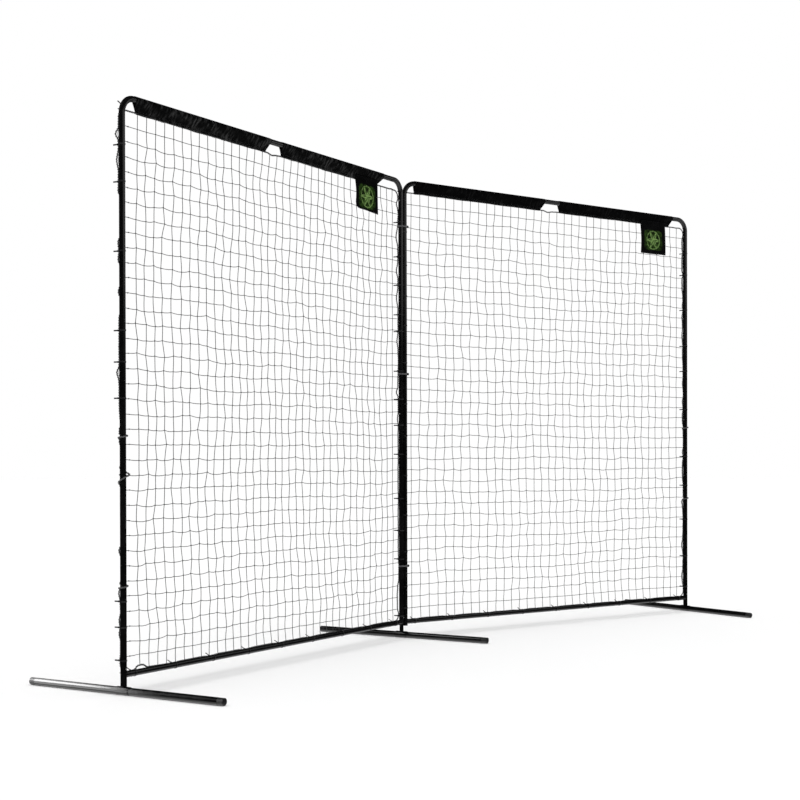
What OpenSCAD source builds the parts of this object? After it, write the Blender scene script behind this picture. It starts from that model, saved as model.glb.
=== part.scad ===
// Freestanding ball-stop screen: two tube frames with nets, strapped side by
// side at a slight angle, on three cross feet.
// Row frame: +X along the screen from left to right, -Y is the playing side,
// +Z up. The origin is on the ground, in the middle of the footprint.

/* [Panels] */
// Distance between the two post axes of one panel
panel_w = 2660; // [2400:10:3000]
// Overall height of the screen
frame_h = 3000; // [2800:10:3200]
// Angle between the two panels, 0 is one straight row
bend_deg = 22.5; // [0:0.5:45]
// Distance between the two inner post axes
post_spacing = 35; // [35:0.5:40]

/* [Frame tubes] */
// Outer diameter of the frame tubes
tube_d = 32; // [30:0.5:34]
// Wall thickness of all tubes
tube_wall = 1.5; // [1.2:0.1:2]
// Centre-line radius of the top corners
corner_r = 84; // [70:1:120]
// Height of the bottom rail's axis above the ground
rail_z = 100; // [96:1:120]
// Length of a reduced tube end inside the next tube
spigot_len = 60; // [40:1:80]
// Straight leg of a top corner, above the post joint
corner_leg = 70; // [64:1:120]
// Straight stretch of a top corner before the top rail
corner_lead = 20; // [10:1:40]

/* [Feet] */
// Length of a foot over its caps
foot_len = 1280; // [1000:10:1500]
// Outer diameter of a foot tube
foot_d = 38; // [36:0.5:42]
// Length of the visible end cap of a foot
foot_cap_len = 38; // [20:1:50]
// Height of the inner posts' lower end above the ground
inner_post_z = 79; // [76:1:84]
// Length of the saddle sleeve that the upright is welded to
saddle_len = 80; // [60:1:120]

/* [Net] */
// Number of cells each way
net_cells = 17; // [8:1:17]
// Width of a net strand
strand_w = 3; // [2:0.5:4]
// Diameter of the border rope
rope_d = 5; // [4:0.5:6]
// Distance of the border rope's axis behind the post axis
rope_back = 22.5; // [21.5:0.5:26]
// Height of the lower border rope above the bottom rail's axis
rope_rise = 8; // [0:1:12]
// Width of a cable tie
tie_w = 7.6; // [4:0.2:9]
// Distance between two cable ties on a bottom rail, in net cells
rail_tie_step = 2; // [1:1:4]

/* [Top sleeves] */
// Start and end of both sleeves on the left panel, from its outer post's axis
left_sleeves = [105, 1225, 1340, 2440]; // [0:1:2600]
// Start and end of both sleeves on the right panel, from its inner post's axis
right_sleeves = [82, 1224, 1361, 2511]; // [0:1:2600]
// Drop of the top border rope below the top rail's axis
sleeve_drop = 60; // [50:1:80]
// Thickness of the sleeve cloth
cloth_t = 1.5; // [1:0.1:2]

/* [Label flaps] */
// Start and end of the left panel's flap, from its outer post's axis
left_flap = [2137, 2398]; // [0:1:2600]
// Start and end of the right panel's flap, from its inner post's axis
right_flap = [2201, 2455]; // [0:1:2600]
// Length of the left and the right flap below the sleeve
flap_drops = [188, 222]; // [100:1:300]

/* [Coupling straps] */
// Heights of the three straps that hold the inner posts together
strap_heights = [467, 1726, 2692]; // [300:1:2700]
// Width of a strap
strap_w = 10; // [8:1:16]
// Height of the buckle on a strap
buckle_h = 17; // [14:1:22]

/* [Hidden] */

$fn = 48;
tube_r = tube_d / 2;
bore_r = tube_r - tube_wall;
male_r = bore_r - 0.2;             // reduced tube end, a sliding fit in a bore
male_bore_r = male_r - tube_wall;
foot_r = foot_d / 2;
foot_bore_r = foot_r - tube_wall;
saddle_r = foot_r + 3;
upright_r = bore_r - 1.5;          // welded upright that a post stands on
seat_gap = 0.2;                    // air between pieces that only touch
foot_z = foot_r + 0.2;             // axis of a foot; its saddle's flat underside is on the ground

top_z = frame_h - tube_r;          // axis of the top rail
corner_z = top_z - corner_r;       // where a corner's bend begins
corner_end_z = corner_z - corner_leg;
outer_post_z = foot_z + saddle_r + seat_gap;
half_way = panel_w / 2;
rail_end_x = corner_r + corner_lead;
post_joint_z = outer_post_z + (corner_end_z - outer_post_z) / 2;
stub_len = tube_r + 70;

rope_r = rope_d / 2;
rope_corner_r = 30;
rope_low_z = rail_z + rope_rise;
rope_high_z = top_z - sleeve_drop;
net_h = rope_high_z - rope_low_z;
cell_w = panel_w / net_cells;
cell_h = net_h / net_cells;
net_t = 2;

tie_t = 1.6;
tie_tail = 26;
tie_head = 9;                      // side of a tie's square head
// Heights of the ties on the posts, for a screen 3000 high
tie_heights = [
    [170, 335, 465, 1480, 1661, 1818, 2214, 2560, 2745],
    [140, 513, 700, 910, 1200, 1390, 1560, 1745, 2005, 2115, 2308, 2495, 2720],
    [190, 330, 560, 800, 1060, 1320, 1530, 1800, 2045, 2240, 2440, 2660],
    [185, 420, 700, 960, 1180, 1540, 1832, 2025, 2300, 2568, 2733]
];
// Heights where the rope is wound once round an outer post
lashing_heights = [
    [540, 1090, 1290],
    [860, 1400]
];
lashing_r = 2;
button_r = 3.8;
button_hole_r = 4;
button_out = 2.2;                  // how far a button stands proud of its tube

half_bend = bend_deg / 2;
row_y = panel_w * sin(half_bend) / 2;   // puts the footprint's middle at Y = 0

frame_black = [0.09, 0.09, 0.10];
rope_black = [0.12, 0.12, 0.13];
twine_grey = [0.30, 0.30, 0.32];
cloth_black = [0.10, 0.10, 0.11];
plastic_black = [0.05, 0.05, 0.06];
button_grey = [0.55, 0.55, 0.57];
strap_grey = [0.28, 0.28, 0.29];

// ---- Places ----

// Panel coordinates: X from the left post's axis, +Y is the net side
module left_panel() {
    translate([-post_spacing / 2, row_y, 0])
        rotate([0, 0, half_bend])
            translate([-panel_w, 0, 0])
                children();
}

module right_panel() {
    translate([post_spacing / 2, row_y, 0])
        rotate([0, 0, -half_bend])
            children();
}

// Mirrors a piece of the left post to the right post of the same panel
module far_post() {
    translate([panel_w, 0, 0])
        mirror([1, 0, 0])
            children();
}

// Turns a tube that runs up into one that runs to the right
module along_x() {
    rotate([0, 90, 0])
        children();
}

// ---- Tubes ----

// Tube along +Z with an open lower end, and a reduced upper end if male is true
module tube(length, male) {
    profile = male
        ? [[bore_r, 0], [tube_r, 0], [tube_r, length], [male_r, length],
           [male_r, length + spigot_len], [male_bore_r, length + spigot_len],
           [male_bore_r, length - 4], [bore_r, length - 8]]
        : [[bore_r, 0], [tube_r, 0], [tube_r, length], [bore_r, length]];
    rotate_extrude()
        polygon(profile);
}

// Round hole from the axis outwards along +X at height z
module button_hole(z) {
    translate([0, 0, z])
        rotate([0, 90, 0])
            cylinder(r = button_hole_r, h = tube_r + 5);
}

// Spring button along +X with a domed head, its leaf spring inside the tube
module spring_button() {
    dome = 1.6;
    dome_r = (button_r * button_r + dome * dome) / (2 * dome) + 0.3;
    rotate([0, 90, 0])
        translate([0, 0, male_bore_r - 2])
            rotate_extrude()
                intersection() {
                    square([button_r, tube_r + button_out - male_bore_r + 2]);
                    translate([0, tube_r + button_out - male_bore_r + 2 - dome_r])
                        circle(r = dome_r, $fn = 96);
                }
}

// Two circles of radius a and b, d apart along +Y, with a tight belt round them
module teardrop(a, b, d) {
    lift = asin((a - b) / d);
    inset = 0.06;                  // keeps the belt from only touching the circles
    low = [(a - inset) * cos(lift), (a - inset) * sin(lift)];
    high = [(b - inset) * cos(lift), d + (b - inset) * sin(lift)];
    circle(r = a);
    translate([0, d])
        circle(r = b);
    polygon([low, high, [-high[0], high[1]], [-low[0], low[1]]]);
}

// Post tube from the foot to its middle joint, with the stub for the bottom rail
module post_lower(foot_z) {
    color(frame_black)
        difference() {
            union() {
                translate([0, 0, foot_z])
                    rotate_extrude()
                        polygon([
                            [0, 0], [tube_r, 0], [tube_r, post_joint_z - foot_z],
                            [male_r, post_joint_z - foot_z],
                            [male_r, post_joint_z - foot_z + spigot_len],
                            [0, post_joint_z - foot_z + spigot_len]
                        ]);
                translate([0, 0, rail_z])
                    along_x()
                        cylinder(r = male_r, h = stub_len);
            }
            translate([0, 0, foot_z - 1])
                cylinder(r = bore_r, h = post_joint_z - foot_z - 7);
            translate([0, 0, post_joint_z - 8.5])
                cylinder(r1 = bore_r, r2 = male_bore_r, h = 5);
            translate([0, 0, post_joint_z - 4])
                cylinder(r = male_bore_r, h = spigot_len + 10);
            translate([tube_r + 2, 0, rail_z])
                along_x()
                    cylinder(r = male_bore_r, h = stub_len);
            button_hole(post_joint_z + spigot_len / 2);
            translate([0, 0, rail_z + 30])
                rotate([0, 0, -90])
                    button_hole(0);
            translate([tube_r + 40, 0, rail_z])
                rotate([0, 90, 0])
                    button_hole(0);
        }
}

module post_upper() {
    color(frame_black)
        difference() {
            translate([0, 0, post_joint_z])
                tube(corner_end_z - post_joint_z, true);
            button_hole(post_joint_z + spigot_len / 2);
            button_hole(corner_end_z + spigot_len / 2);
        }
}

// Bent top corner: open leg down over the post, reduced end into the top rail
module corner() {
    color(frame_black)
        difference() {
            union() {
                translate([0, 0, corner_end_z])
                    cylinder(r = tube_r, h = corner_leg);
                translate([corner_r, 0, corner_z])
                    rotate([90, 0, 0])
                        rotate([0, 0, 90])
                            rotate_extrude(angle = 90, $fn = 96)
                                translate([corner_r, 0])
                                    circle(r = tube_r);
                translate([corner_r, 0, top_z])
                    along_x()
                        cylinder(r = tube_r, h = corner_lead);
                translate([rail_end_x - 1, 0, top_z])
                    along_x()
                        cylinder(r = male_r, h = spigot_len + 1);
            }
            translate([0, 0, corner_end_z - 1])
                cylinder(r = bore_r, h = corner_leg + 1);
            translate([corner_r, 0, corner_z])
                rotate([90, 0, 0])
                    rotate([0, 0, 90])
                        rotate_extrude(angle = 90, $fn = 96)
                            translate([corner_r, 0])
                                circle(r = bore_r);
            translate([corner_r, 0, top_z])
                along_x()
                    cylinder(r = male_bore_r, h = corner_lead + spigot_len + 10);
            button_hole(corner_end_z + spigot_len / 2);
        }
}

// Left half of the top rail, with a reduced end at the middle
module top_rail_left() {
    color(frame_black)
        translate([rail_end_x, 0, top_z])
            along_x()
                difference() {
                    tube(half_way - rail_end_x, true);
                    button_hole(half_way - rail_end_x + spigot_len / 2);
                }
}

module top_rail_right() {
    color(frame_black)
        translate([half_way, 0, top_z])
            along_x()
                difference() {
                    tube(half_way - rail_end_x, false);
                    button_hole(spigot_len / 2);
                }
}

// Left half of the bottom rail, its end coped to the post
module bottom_rail_left() {
    color(frame_black)
        difference() {
            translate([0, 0, rail_z])
                along_x()
                    difference() {
                        tube(half_way, true);
                        button_hole(tube_r + 40);
                        button_hole(half_way + spigot_len / 2);
                    }
            translate([0, 0, rail_z - 2 * tube_r])
                cylinder(r = tube_r + seat_gap, h = 4 * tube_r);
        }
}

module bottom_rail_right() {
    color(frame_black)
        difference() {
            translate([half_way, 0, rail_z])
                along_x()
                    difference() {
                        tube(half_way, false);
                        button_hole(spigot_len / 2);
                        button_hole(half_way - tube_r - 40);
                    }
            translate([panel_w, 0, rail_z - 2 * tube_r])
                cylinder(r = tube_r + seat_gap, h = 4 * tube_r);
        }
}

// Buttons of one post: middle joint, corner joint and rail stub
module post_buttons() {
    for (z = [post_joint_z, corner_end_z])
        translate([0, 0, z + spigot_len / 2])
            spring_button();
    translate([tube_r + 40, 0, rail_z])
        rotate([0, 90, 0])
            spring_button();
}

// Buttons of a panel; standing_posts lists where a post stands on an upright
module spring_buttons(standing_posts) {
    color(button_grey) {
        post_buttons();
        far_post()
            post_buttons();
        for (z = [rail_z, top_z])
            translate([half_way + spigot_len / 2, 0, z])
                rotate([0, 90, 0])
                    spring_button();
        for (x = standing_posts)
            translate([x, 0, rail_z + 30])
                rotate([0, 0, -90])
                    spring_button();
    }
}

// ---- Feet ----

// Foot weldment: tube, saddle sleeve with a flat sole, and the upright for the post
module foot(post_z) {
    tube_len = foot_len - 2 * foot_cap_len;
    color(frame_black)
        difference() {
            union() {
                translate([0, tube_len / 2, foot_z])
                    rotate([90, 0, 0])
                        cylinder(r = foot_r, h = tube_len);
                intersection() {
                    translate([0, saddle_len / 2, foot_z])
                        rotate([90, 0, 0])
                            cylinder(r = saddle_r, h = saddle_len);
                    translate([-foot_d, -saddle_len, 0])
                        cube([2 * foot_d, 2 * saddle_len, 2 * foot_d]);
                }
                translate([0, 0, foot_z])
                    cylinder(r = upright_r, h = post_z + 100 - foot_z);
            }
            translate([0, tube_len / 2 + 1, foot_z])
                rotate([90, 0, 0])
                    cylinder(r = foot_bore_r, h = tube_len + 2);
            translate([0, 0, foot_z + saddle_r + 2])
                cylinder(r = upright_r - 2, h = post_z + 100);
            translate([0, 0, rail_z + 30])
                rotate([0, 0, -90])
                    button_hole(0);
        }
}

// Cap along +Z: ribbed plug, ferrule and a shallow dome
module end_cap(plug_len, plug_r, ferrule_len, ferrule_r, dome) {
    edge = 1.2;
    rise = dome - edge;
    dome_r = (ferrule_r * ferrule_r + rise * rise) / (2 * rise);
    rotate_extrude()
        union() {
            square([plug_r - 1, plug_len]);
            for (rib = [0 : 3])
                translate([0, 2 + rib * 6.5])
                    square([plug_r, 3]);
            translate([0, plug_len])
                square([ferrule_r, ferrule_len - dome]);
            translate([0, plug_len + ferrule_len - dome])
                intersection() {
                    square([ferrule_r, dome]);
                    translate([0, dome - dome_r])
                        circle(r = dome_r, $fn = 128);
                }
        }
}

module foot_caps() {
    plug_len = 30;
    color(plastic_black)
        for (turn = [0, 180])
            rotate([0, 0, turn])
                translate([0, foot_len / 2 - foot_cap_len - plug_len, foot_z])
                    rotate([-90, 0, 0])
                        end_cap(plug_len, foot_bore_r - 0.1, foot_cap_len, foot_r - 0.3, 4);
}

module post_cap() {
    plug_len = 28;
    color(plastic_black)
        translate([0, 0, inner_post_z + plug_len - seat_gap])
            rotate([180, 0, 0])
                end_cap(plug_len, bore_r - 0.1, 6, tube_r + 1, 2.5);
}

// ---- Net ----

// Square net: strands tied to the border rope's axis on all sides
module net() {
    color(twine_grey)
        translate([0, rope_back + net_t / 2, rope_low_z])
            rotate([90, 0, 0])
                linear_extrude(net_t)
                    for (line = [1 : net_cells - 1]) {
                        translate([line * cell_w - strand_w / 2, 0])
                            square([strand_w, net_h]);
                        translate([0, line * cell_h - strand_w / 2])
                            square([panel_w, strand_w]);
                    }
}

// Quarter of the border: half a side and half a height with the corner between
module rope_quarter() {
    translate([rope_corner_r, 0, 0])
        along_x()
            cylinder(r = rope_r, h = half_way - rope_corner_r, $fn = 24);
    translate([0, 0, rope_corner_r])
        cylinder(r = rope_r, h = net_h / 2 - rope_corner_r, $fn = 24);
    translate([rope_corner_r, 0, rope_corner_r])
        rotate([90, 0, 0])
            rotate([0, 0, 180])
                rotate_extrude(angle = 90, $fn = 48)
                    translate([rope_corner_r, 0])
                        circle(r = rope_r, $fn = 24);
}

// Border rope, wound round the outer post where lashings asks for it
module border_rope(post_x, lashings) {
    color(rope_black)
        union() {
            translate([half_way, rope_back, rope_low_z + net_h / 2])
                for (flip_x = [0, 1])
                    for (flip_z = [0, 1])
                        mirror([flip_x, 0, 0])
                            mirror([0, 0, flip_z])
                                translate([-half_way, 0, -net_h / 2])
                                    rope_quarter();
            for (z = lashings)
                translate([post_x, 0, z * frame_h / 3000])
                    rotate_extrude()
                        translate([tube_r + 0.3 + lashing_r, 0])
                            circle(r = lashing_r, $fn = 24);
        }
}

// Tie round a tube on the Z axis and a rope reach away along +Y, with its tail
module cable_tie(reach) {
    inner_a = tube_r + seat_gap;
    inner_b = rope_r + seat_gap;
    head_y = reach + inner_b + tie_t / 2;
    translate([0, 0, -tie_w / 2])
        linear_extrude(tie_w)
            difference() {
                teardrop(inner_a + tie_t, inner_b + tie_t, reach);
                teardrop(inner_a, inner_b, reach);
            }
    translate([-tie_head / 2, head_y, -tie_head / 2])
        cube([tie_head, 5.5, tie_head]);
    rotate([0, 0, 8])
        translate([2, head_y + 2, -tie_w / 2 + 0.3])
            cube([tie_t, tie_tail, tie_w - 0.6]);
}

// Ties on the left post, the right post and the bottom rail of a panel
module cable_ties(left_heights, right_heights) {
    rail_reach = sqrt(rope_back * rope_back + rope_rise * rope_rise);
    rail_turn = atan2(rope_rise, rope_back);
    color(plastic_black) {
        for (z = left_heights)
            translate([0, 0, z * frame_h / 3000])
                cable_tie(rope_back);
        for (z = right_heights)
            translate([panel_w, 0, z * frame_h / 3000])
                cable_tie(rope_back);
        for (column = [1 : rail_tie_step : net_cells])
            translate([(column - 0.5) * cell_w, 0, rail_z])
                rotate([rail_turn, 0, 0])
                    along_x()
                        cable_tie(rail_reach);
    }
}

// ---- Cloth ----

// Cloth sleeve round the top rail and the border rope, open below for the net
module sleeve(start, end) {
    hang = sqrt(rope_back * rope_back + sleeve_drop * sleeve_drop);
    swing = atan2(rope_back, sleeve_drop);
    fit = 0.3;
    notch = 26;
    color(cloth_black)
        difference() {
            translate([start, 0, top_z])
                rotate([-90 + swing, 0, 0])
                    rotate([0, 90, 0])
                        rotate([0, 0, 90])
                            linear_extrude(end - start)
                                rotate([0, 0, -90])
                                    difference() {
                                        teardrop(tube_r + fit + cloth_t, rope_r + fit + cloth_t, hang);
                                        teardrop(tube_r + fit, rope_r + fit, hang);
                                    }
            // The ends are cut back towards the lower fold
            for (side = [0, 1])
                translate([side == 0 ? start : end, 100, top_z - tube_r])
                    mirror([side, 0, 0])
                        rotate([90, 0, 0])
                            linear_extrude(200)
                                polygon([[-2, 4], [notch, -60], [notch, -80], [-2, -80]]);
            // The net's strands leave between the two hems
            translate([start - 1, rope_back - net_t / 2 - 0.5, rope_high_z - 20])
                cube([end - start + 2, net_t + 1, 18]);
        }
}

// Cloth square sewn into the front of the sleeve's fold, hanging with a soft belly
module label_flap(start, end, drop) {
    flap_t = 1.6;
    steps = 12;
    belly = 5;
    seam = 6;
    round_r = 24;
    hang_y = rope_back - rope_r - cloth_t - flap_t - 0.5;
    low = top_z - sleeve_drop - drop;
    front = [for (i = [0 : steps])
        let (s = i / steps)
            [hang_y - belly * sin(180 * s) * (1 - 0.4 * s), low + s * (drop + seam)]];
    back = [for (i = [steps : -1 : 0]) [front[i][0] + flap_t, front[i][1]]];
    color(cloth_black)
        intersection() {
            translate([start, 0, 0])
                rotate([90, 0, 90])
                    linear_extrude(end - start)
                        polygon(concat(front, back));
            translate([start, 60, low])
                rotate([90, 0, 0])
                    linear_extrude(120)
                        union() {
                            translate([round_r, round_r])
                                circle(r = round_r);
                            translate([0, round_r])
                                square([end - start, drop]);
                            translate([round_r, 0])
                                square([end - start - round_r, round_r + 1]);
                        }
        }
}

// ---- Coupling ----

// Belt outline round both inner posts
module belt(r) {
    for (side = [-1, 1])
        translate([side * post_spacing / 2, 0])
            circle(r = r);
    translate([-post_spacing / 2, -r])
        square([post_spacing, 2 * r]);
}

// Strap round both inner posts, its free end lying along the front through a buckle
module strap(z) {
    strap_fit = 0.4;
    strap_t = 2;
    free_end = 20;
    buckle_w = 14;
    buckle_t = 3.6;
    outer = tube_r + strap_fit + strap_t;
    color(strap_grey)
        translate([0, row_y, z])
            union() {
                translate([0, 0, -strap_w / 2])
                    linear_extrude(strap_w)
                        union() {
                            difference() {
                                belt(outer);
                                belt(tube_r + strap_fit);
                            }
                            translate([-post_spacing / 2, -outer - strap_t])
                                square([post_spacing + free_end, strap_t + 0.5]);
                        }
                translate([post_spacing / 2 + 4, -outer - strap_t - 1, -buckle_h / 2])
                    cube([buckle_w, buckle_t, buckle_h]);
            }
}

// ---- Nodes ----

module left_outer_post_lower() { left_panel() post_lower(outer_post_z); }
module left_outer_post_upper() { left_panel() post_upper(); }
module left_outer_corner() { left_panel() corner(); }
module left_top_rail_outer() { left_panel() top_rail_left(); }
module left_top_rail_inner() { left_panel() top_rail_right(); }
module left_inner_corner() { left_panel() far_post() corner(); }
module left_inner_post_upper() { left_panel() far_post() post_upper(); }
module left_inner_post_lower() { left_panel() far_post() post_lower(inner_post_z); }
module left_bottom_rail_outer() { left_panel() bottom_rail_left(); }
module left_bottom_rail_inner() { left_panel() bottom_rail_right(); }
module left_spring_buttons() { left_panel() spring_buttons([0, panel_w]); }
module left_net() { left_panel() net(); }
module left_border_rope() { left_panel() border_rope(0, lashing_heights[0]); }
module left_cable_ties() { left_panel() cable_ties(tie_heights[0], tie_heights[1]); }
module left_sleeve_outer() { left_panel() sleeve(left_sleeves[0], left_sleeves[1]); }
module left_sleeve_inner() { left_panel() sleeve(left_sleeves[2], left_sleeves[3]); }
module left_label_flap() { left_panel() label_flap(left_flap[0], left_flap[1], flap_drops[0]); }
module left_foot() { left_panel() foot(outer_post_z); }
module left_foot_caps() { left_panel() foot_caps(); }
module middle_foot() { left_panel() far_post() foot(inner_post_z); }
module middle_foot_caps() { left_panel() far_post() foot_caps(); }
module strap_lower() { strap(strap_heights[0]); }
module strap_middle() { strap(strap_heights[1]); }
module strap_upper() { strap(strap_heights[2]); }
module right_inner_post_lower() { right_panel() post_lower(inner_post_z); }
module right_inner_post_upper() { right_panel() post_upper(); }
module right_inner_corner() { right_panel() corner(); }
module right_top_rail_inner() { right_panel() top_rail_left(); }
module right_top_rail_outer() { right_panel() top_rail_right(); }
module right_outer_corner() { right_panel() far_post() corner(); }
module right_outer_post_upper() { right_panel() far_post() post_upper(); }
module right_outer_post_lower() { right_panel() far_post() post_lower(outer_post_z); }
module right_bottom_rail_inner() { right_panel() bottom_rail_left(); }
module right_bottom_rail_outer() { right_panel() bottom_rail_right(); }
module right_spring_buttons() { right_panel() spring_buttons([panel_w]); }
module right_inner_post_cap() { right_panel() post_cap(); }
module right_net() { right_panel() net(); }
module right_border_rope() { right_panel() border_rope(panel_w, lashing_heights[1]); }
module right_cable_ties() { right_panel() cable_ties(tie_heights[2], tie_heights[3]); }
module right_sleeve_inner() { right_panel() sleeve(right_sleeves[0], right_sleeves[1]); }
module right_sleeve_outer() { right_panel() sleeve(right_sleeves[2], right_sleeves[3]); }
module right_label_flap() { right_panel() label_flap(right_flap[0], right_flap[1], flap_drops[1]); }
module right_foot() { right_panel() far_post() foot(outer_post_z); }
module right_foot_caps() { right_panel() far_post() foot_caps(); }

left_outer_post_lower();
left_outer_post_upper();
left_outer_corner();
left_top_rail_outer();
left_top_rail_inner();
left_inner_corner();
left_inner_post_upper();
left_inner_post_lower();
left_bottom_rail_outer();
left_bottom_rail_inner();
left_spring_buttons();
left_net();
left_border_rope();
left_cable_ties();
left_sleeve_outer();
left_sleeve_inner();
left_label_flap();
left_foot();
left_foot_caps();
middle_foot();
middle_foot_caps();
strap_lower();
strap_middle();
strap_upper();
right_inner_post_lower();
right_inner_post_upper();
right_inner_corner();
right_top_rail_inner();
right_top_rail_outer();
right_outer_corner();
right_outer_post_upper();
right_outer_post_lower();
right_bottom_rail_inner();
right_bottom_rail_outer();
right_spring_buttons();
right_inner_post_cap();
right_net();
right_border_rope();
right_cable_ties();
right_sleeve_inner();
right_sleeve_outer();
right_label_flap();
right_foot();
right_foot_caps();
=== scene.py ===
"""Dresses a freestanding ball-stop screen: paint, nets, cords, sleeves, flaps, straps and studio.

All lengths are in metres. A panel's own frame has X from its left post to its right post, +Y on the net side
and Z up.
"""

import math

import bmesh
import bpy
import numpy as np
from bpy.props import FloatProperty, FloatVectorProperty, IntProperty, PointerProperty
from mathutils import Matrix, Vector


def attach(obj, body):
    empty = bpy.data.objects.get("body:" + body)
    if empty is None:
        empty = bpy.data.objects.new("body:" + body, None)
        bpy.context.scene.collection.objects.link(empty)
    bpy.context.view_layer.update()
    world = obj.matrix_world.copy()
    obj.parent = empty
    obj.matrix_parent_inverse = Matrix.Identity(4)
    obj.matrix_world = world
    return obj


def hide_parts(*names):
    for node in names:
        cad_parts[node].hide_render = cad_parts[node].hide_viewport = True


bl_info = {
    "name": "Ball-Stop Net Screen",
    "version": (1, 0, 0),
    "blender": (4, 5, 0),
    "location": "3D View > Sidebar > Net Screen",
    "description": "Dresses a two-panel ball-stop screen with nets, cords, cloth and finishes",
    "category": "Object",
}

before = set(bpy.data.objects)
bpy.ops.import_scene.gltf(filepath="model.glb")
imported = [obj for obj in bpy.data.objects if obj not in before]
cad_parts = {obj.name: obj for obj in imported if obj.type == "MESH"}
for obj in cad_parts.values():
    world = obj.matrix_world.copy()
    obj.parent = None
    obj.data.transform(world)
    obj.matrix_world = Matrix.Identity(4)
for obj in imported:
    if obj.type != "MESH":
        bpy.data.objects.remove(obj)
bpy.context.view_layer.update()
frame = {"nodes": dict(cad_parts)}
SIDES = ("left", "right")


# ---- Sizes and finishes that a user would change ----


def length(name, description, default):
    """A size in metres"""
    return FloatProperty(name=name, description=description, default=default, unit="LENGTH")


def brightness(name, description, default):
    """A strength of light"""
    return FloatProperty(name=name, description=description, default=default, min=0.0)


def cells(name, description, default):
    """A number of net cells"""
    return IntProperty(name=name, description=description, default=default, min=2)


def colour(name, description, default):
    """A base colour"""
    return FloatVectorProperty(name=name, description=description, default=default, subtype="COLOR", size=3)


class FrameSizes(bpy.types.PropertyGroup):
    """Where the frame's tubes stand"""

    panel_width: length("Panel width", "Distance between the two post axes of a panel", 2.66)
    half_bend: FloatProperty(
        name="Half bend",
        description="Angle of each panel to the row",
        default=math.radians(11.25),
        subtype="ANGLE",
    )
    post_spacing: length("Post spacing", "Distance between the inner post axes", 0.035)
    tube_radius: length("Tube radius", "Outer radius of the frame tubes", 0.016)
    top_height: length("Top rail height", "Height of the top rail's axis", 2.984)


class NetSizes(bpy.types.PropertyGroup):
    """Mesh and twine of the nets"""

    left_columns: cells("Left columns", "Cells across the left net", 38)
    left_rows: cells("Left rows", "Cells up the left net", 37)
    right_columns: cells("Right columns", "Cells across the right net", 37)
    right_rows: cells("Right rows", "Cells up the right net", 37)
    twine_radius: length("Twine radius", "Radius of the net's twine", 0.0019)
    knot_radius: length("Knot radius", "Radius of a knot where two twines meet", 0.0040)
    wander: length("Wander", "How far the mesh drifts from a true grid", 0.016)
    jog: length("Jog", "How far single knots have slipped out of line", 0.007)
    sag: length("Sag", "Droop of a twine between two knots", 0.003)
    belly: length("Belly", "How far the net stands back at its middle", 0.018)


class CordSizes(bpy.types.PropertyGroup):
    """Border cord of each net"""

    radius: length("Cord radius", "Radius of the border cord", 0.0032)
    whipping_radius: length("Whipping radius", "Radius of the twine that binds the net to its cord", 0.0014)
    whipping_pitch: length("Whipping pitch", "Length of one turn of the binding twine", 0.013)
    back: length("Cord set-back", "Distance of the cord's axis behind the post's", 0.0225)
    low: length("Lower edge", "Height of the lower border cord", 0.108)
    high: length("Upper edge", "Height of the upper border cord", 2.924)


class Finishes(bpy.types.PropertyGroup):
    """Base colours"""

    paint: colour("Paint", "Powder coat of the tubes", (0.0020, 0.0020, 0.0022))
    twine: colour("Twine", "Twine of the nets", (0.060, 0.060, 0.062))
    cord: colour("Cord", "Border cord", (0.095, 0.095, 0.097))
    cloth: colour("Cloth", "Sleeves and flaps", (0.0018, 0.0018, 0.0020))
    webbing: colour("Webbing", "Coupling straps", (0.11, 0.11, 0.115))
    print_green: colour("Print", "Green of the flap's print", (0.026, 0.062, 0.009))
    print_pale: colour("Print line", "Pale green of the print's lines", (0.22, 0.37, 0.11))


class StudioSettings(bpy.types.PropertyGroup):
    """Floor and light"""

    floor_colour: colour("Floor", "Colour of the studio floor", (0.93, 0.93, 0.93))
    sky_strength: brightness("Sky", "Strength of the even light", 0.15)
    overhead_strength: brightness("Overhead", "Strength of the soft light from above", 1.0)
    softbox_strength: brightness("Softboxes", "Strength of the softboxes in the gloss", 1.0)


class BallScreenSettings(bpy.types.PropertyGroup):
    """Everything that the operators read"""

    frame: PointerProperty(type=FrameSizes)
    net: PointerProperty(type=NetSizes)
    cord: PointerProperty(type=CordSizes)
    finish: PointerProperty(type=Finishes)
    studio: PointerProperty(type=StudioSettings)


def settings():
    """The sizes and finishes of this scene"""
    return bpy.context.scene.ball_screen


# ---- Places ----


def hinge_place():
    """The middle between the two inner posts, in the row frame"""
    sizes = settings().frame
    return Vector((0, sizes.panel_width * math.sin(sizes.half_bend) / 2, 0))


def panel_matrix(side):
    """Takes a panel's own frame to the row frame"""
    sizes = settings().frame
    sign = -1 if side == "left" else 1
    post = hinge_place() + Vector((sign * sizes.post_spacing / 2, 0, 0))
    from_inner_post = Matrix.Translation(post) @ Matrix.Rotation(-sign * sizes.half_bend, 4, "Z")
    if side == "right":
        return from_inner_post
    return from_inner_post @ Matrix.Translation((-sizes.panel_width, 0, 0))


# ---- Meshes ----


def mesh_object(name, points, faces, material, uv=None, matrix=None):
    """A finished mesh object at the origin. uv gives one pair for each face corner."""
    mesh = bpy.data.meshes.new(name)
    points = np.asarray(points, float)
    if matrix is not None:
        m = np.array(matrix, float)
        points = points @ m[:3, :3].T + m[:3, 3]
    mesh.from_pydata([tuple(p) for p in points], [], faces)
    if uv is not None:
        layer = mesh.uv_layers.new(name="UVMap")
        layer.data.foreach_set("uv", np.asarray(uv, np.float32).ravel())
    mesh.materials.append(material)
    mesh.polygons.foreach_set("use_smooth", [True] * len(mesh.polygons))
    mesh.update()
    return linked_object(name, mesh)


def linked_object(name, data):
    """A new object in the scene"""
    obj = bpy.data.objects.new(name, data)
    bpy.context.scene.collection.objects.link(obj)
    return obj


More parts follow.
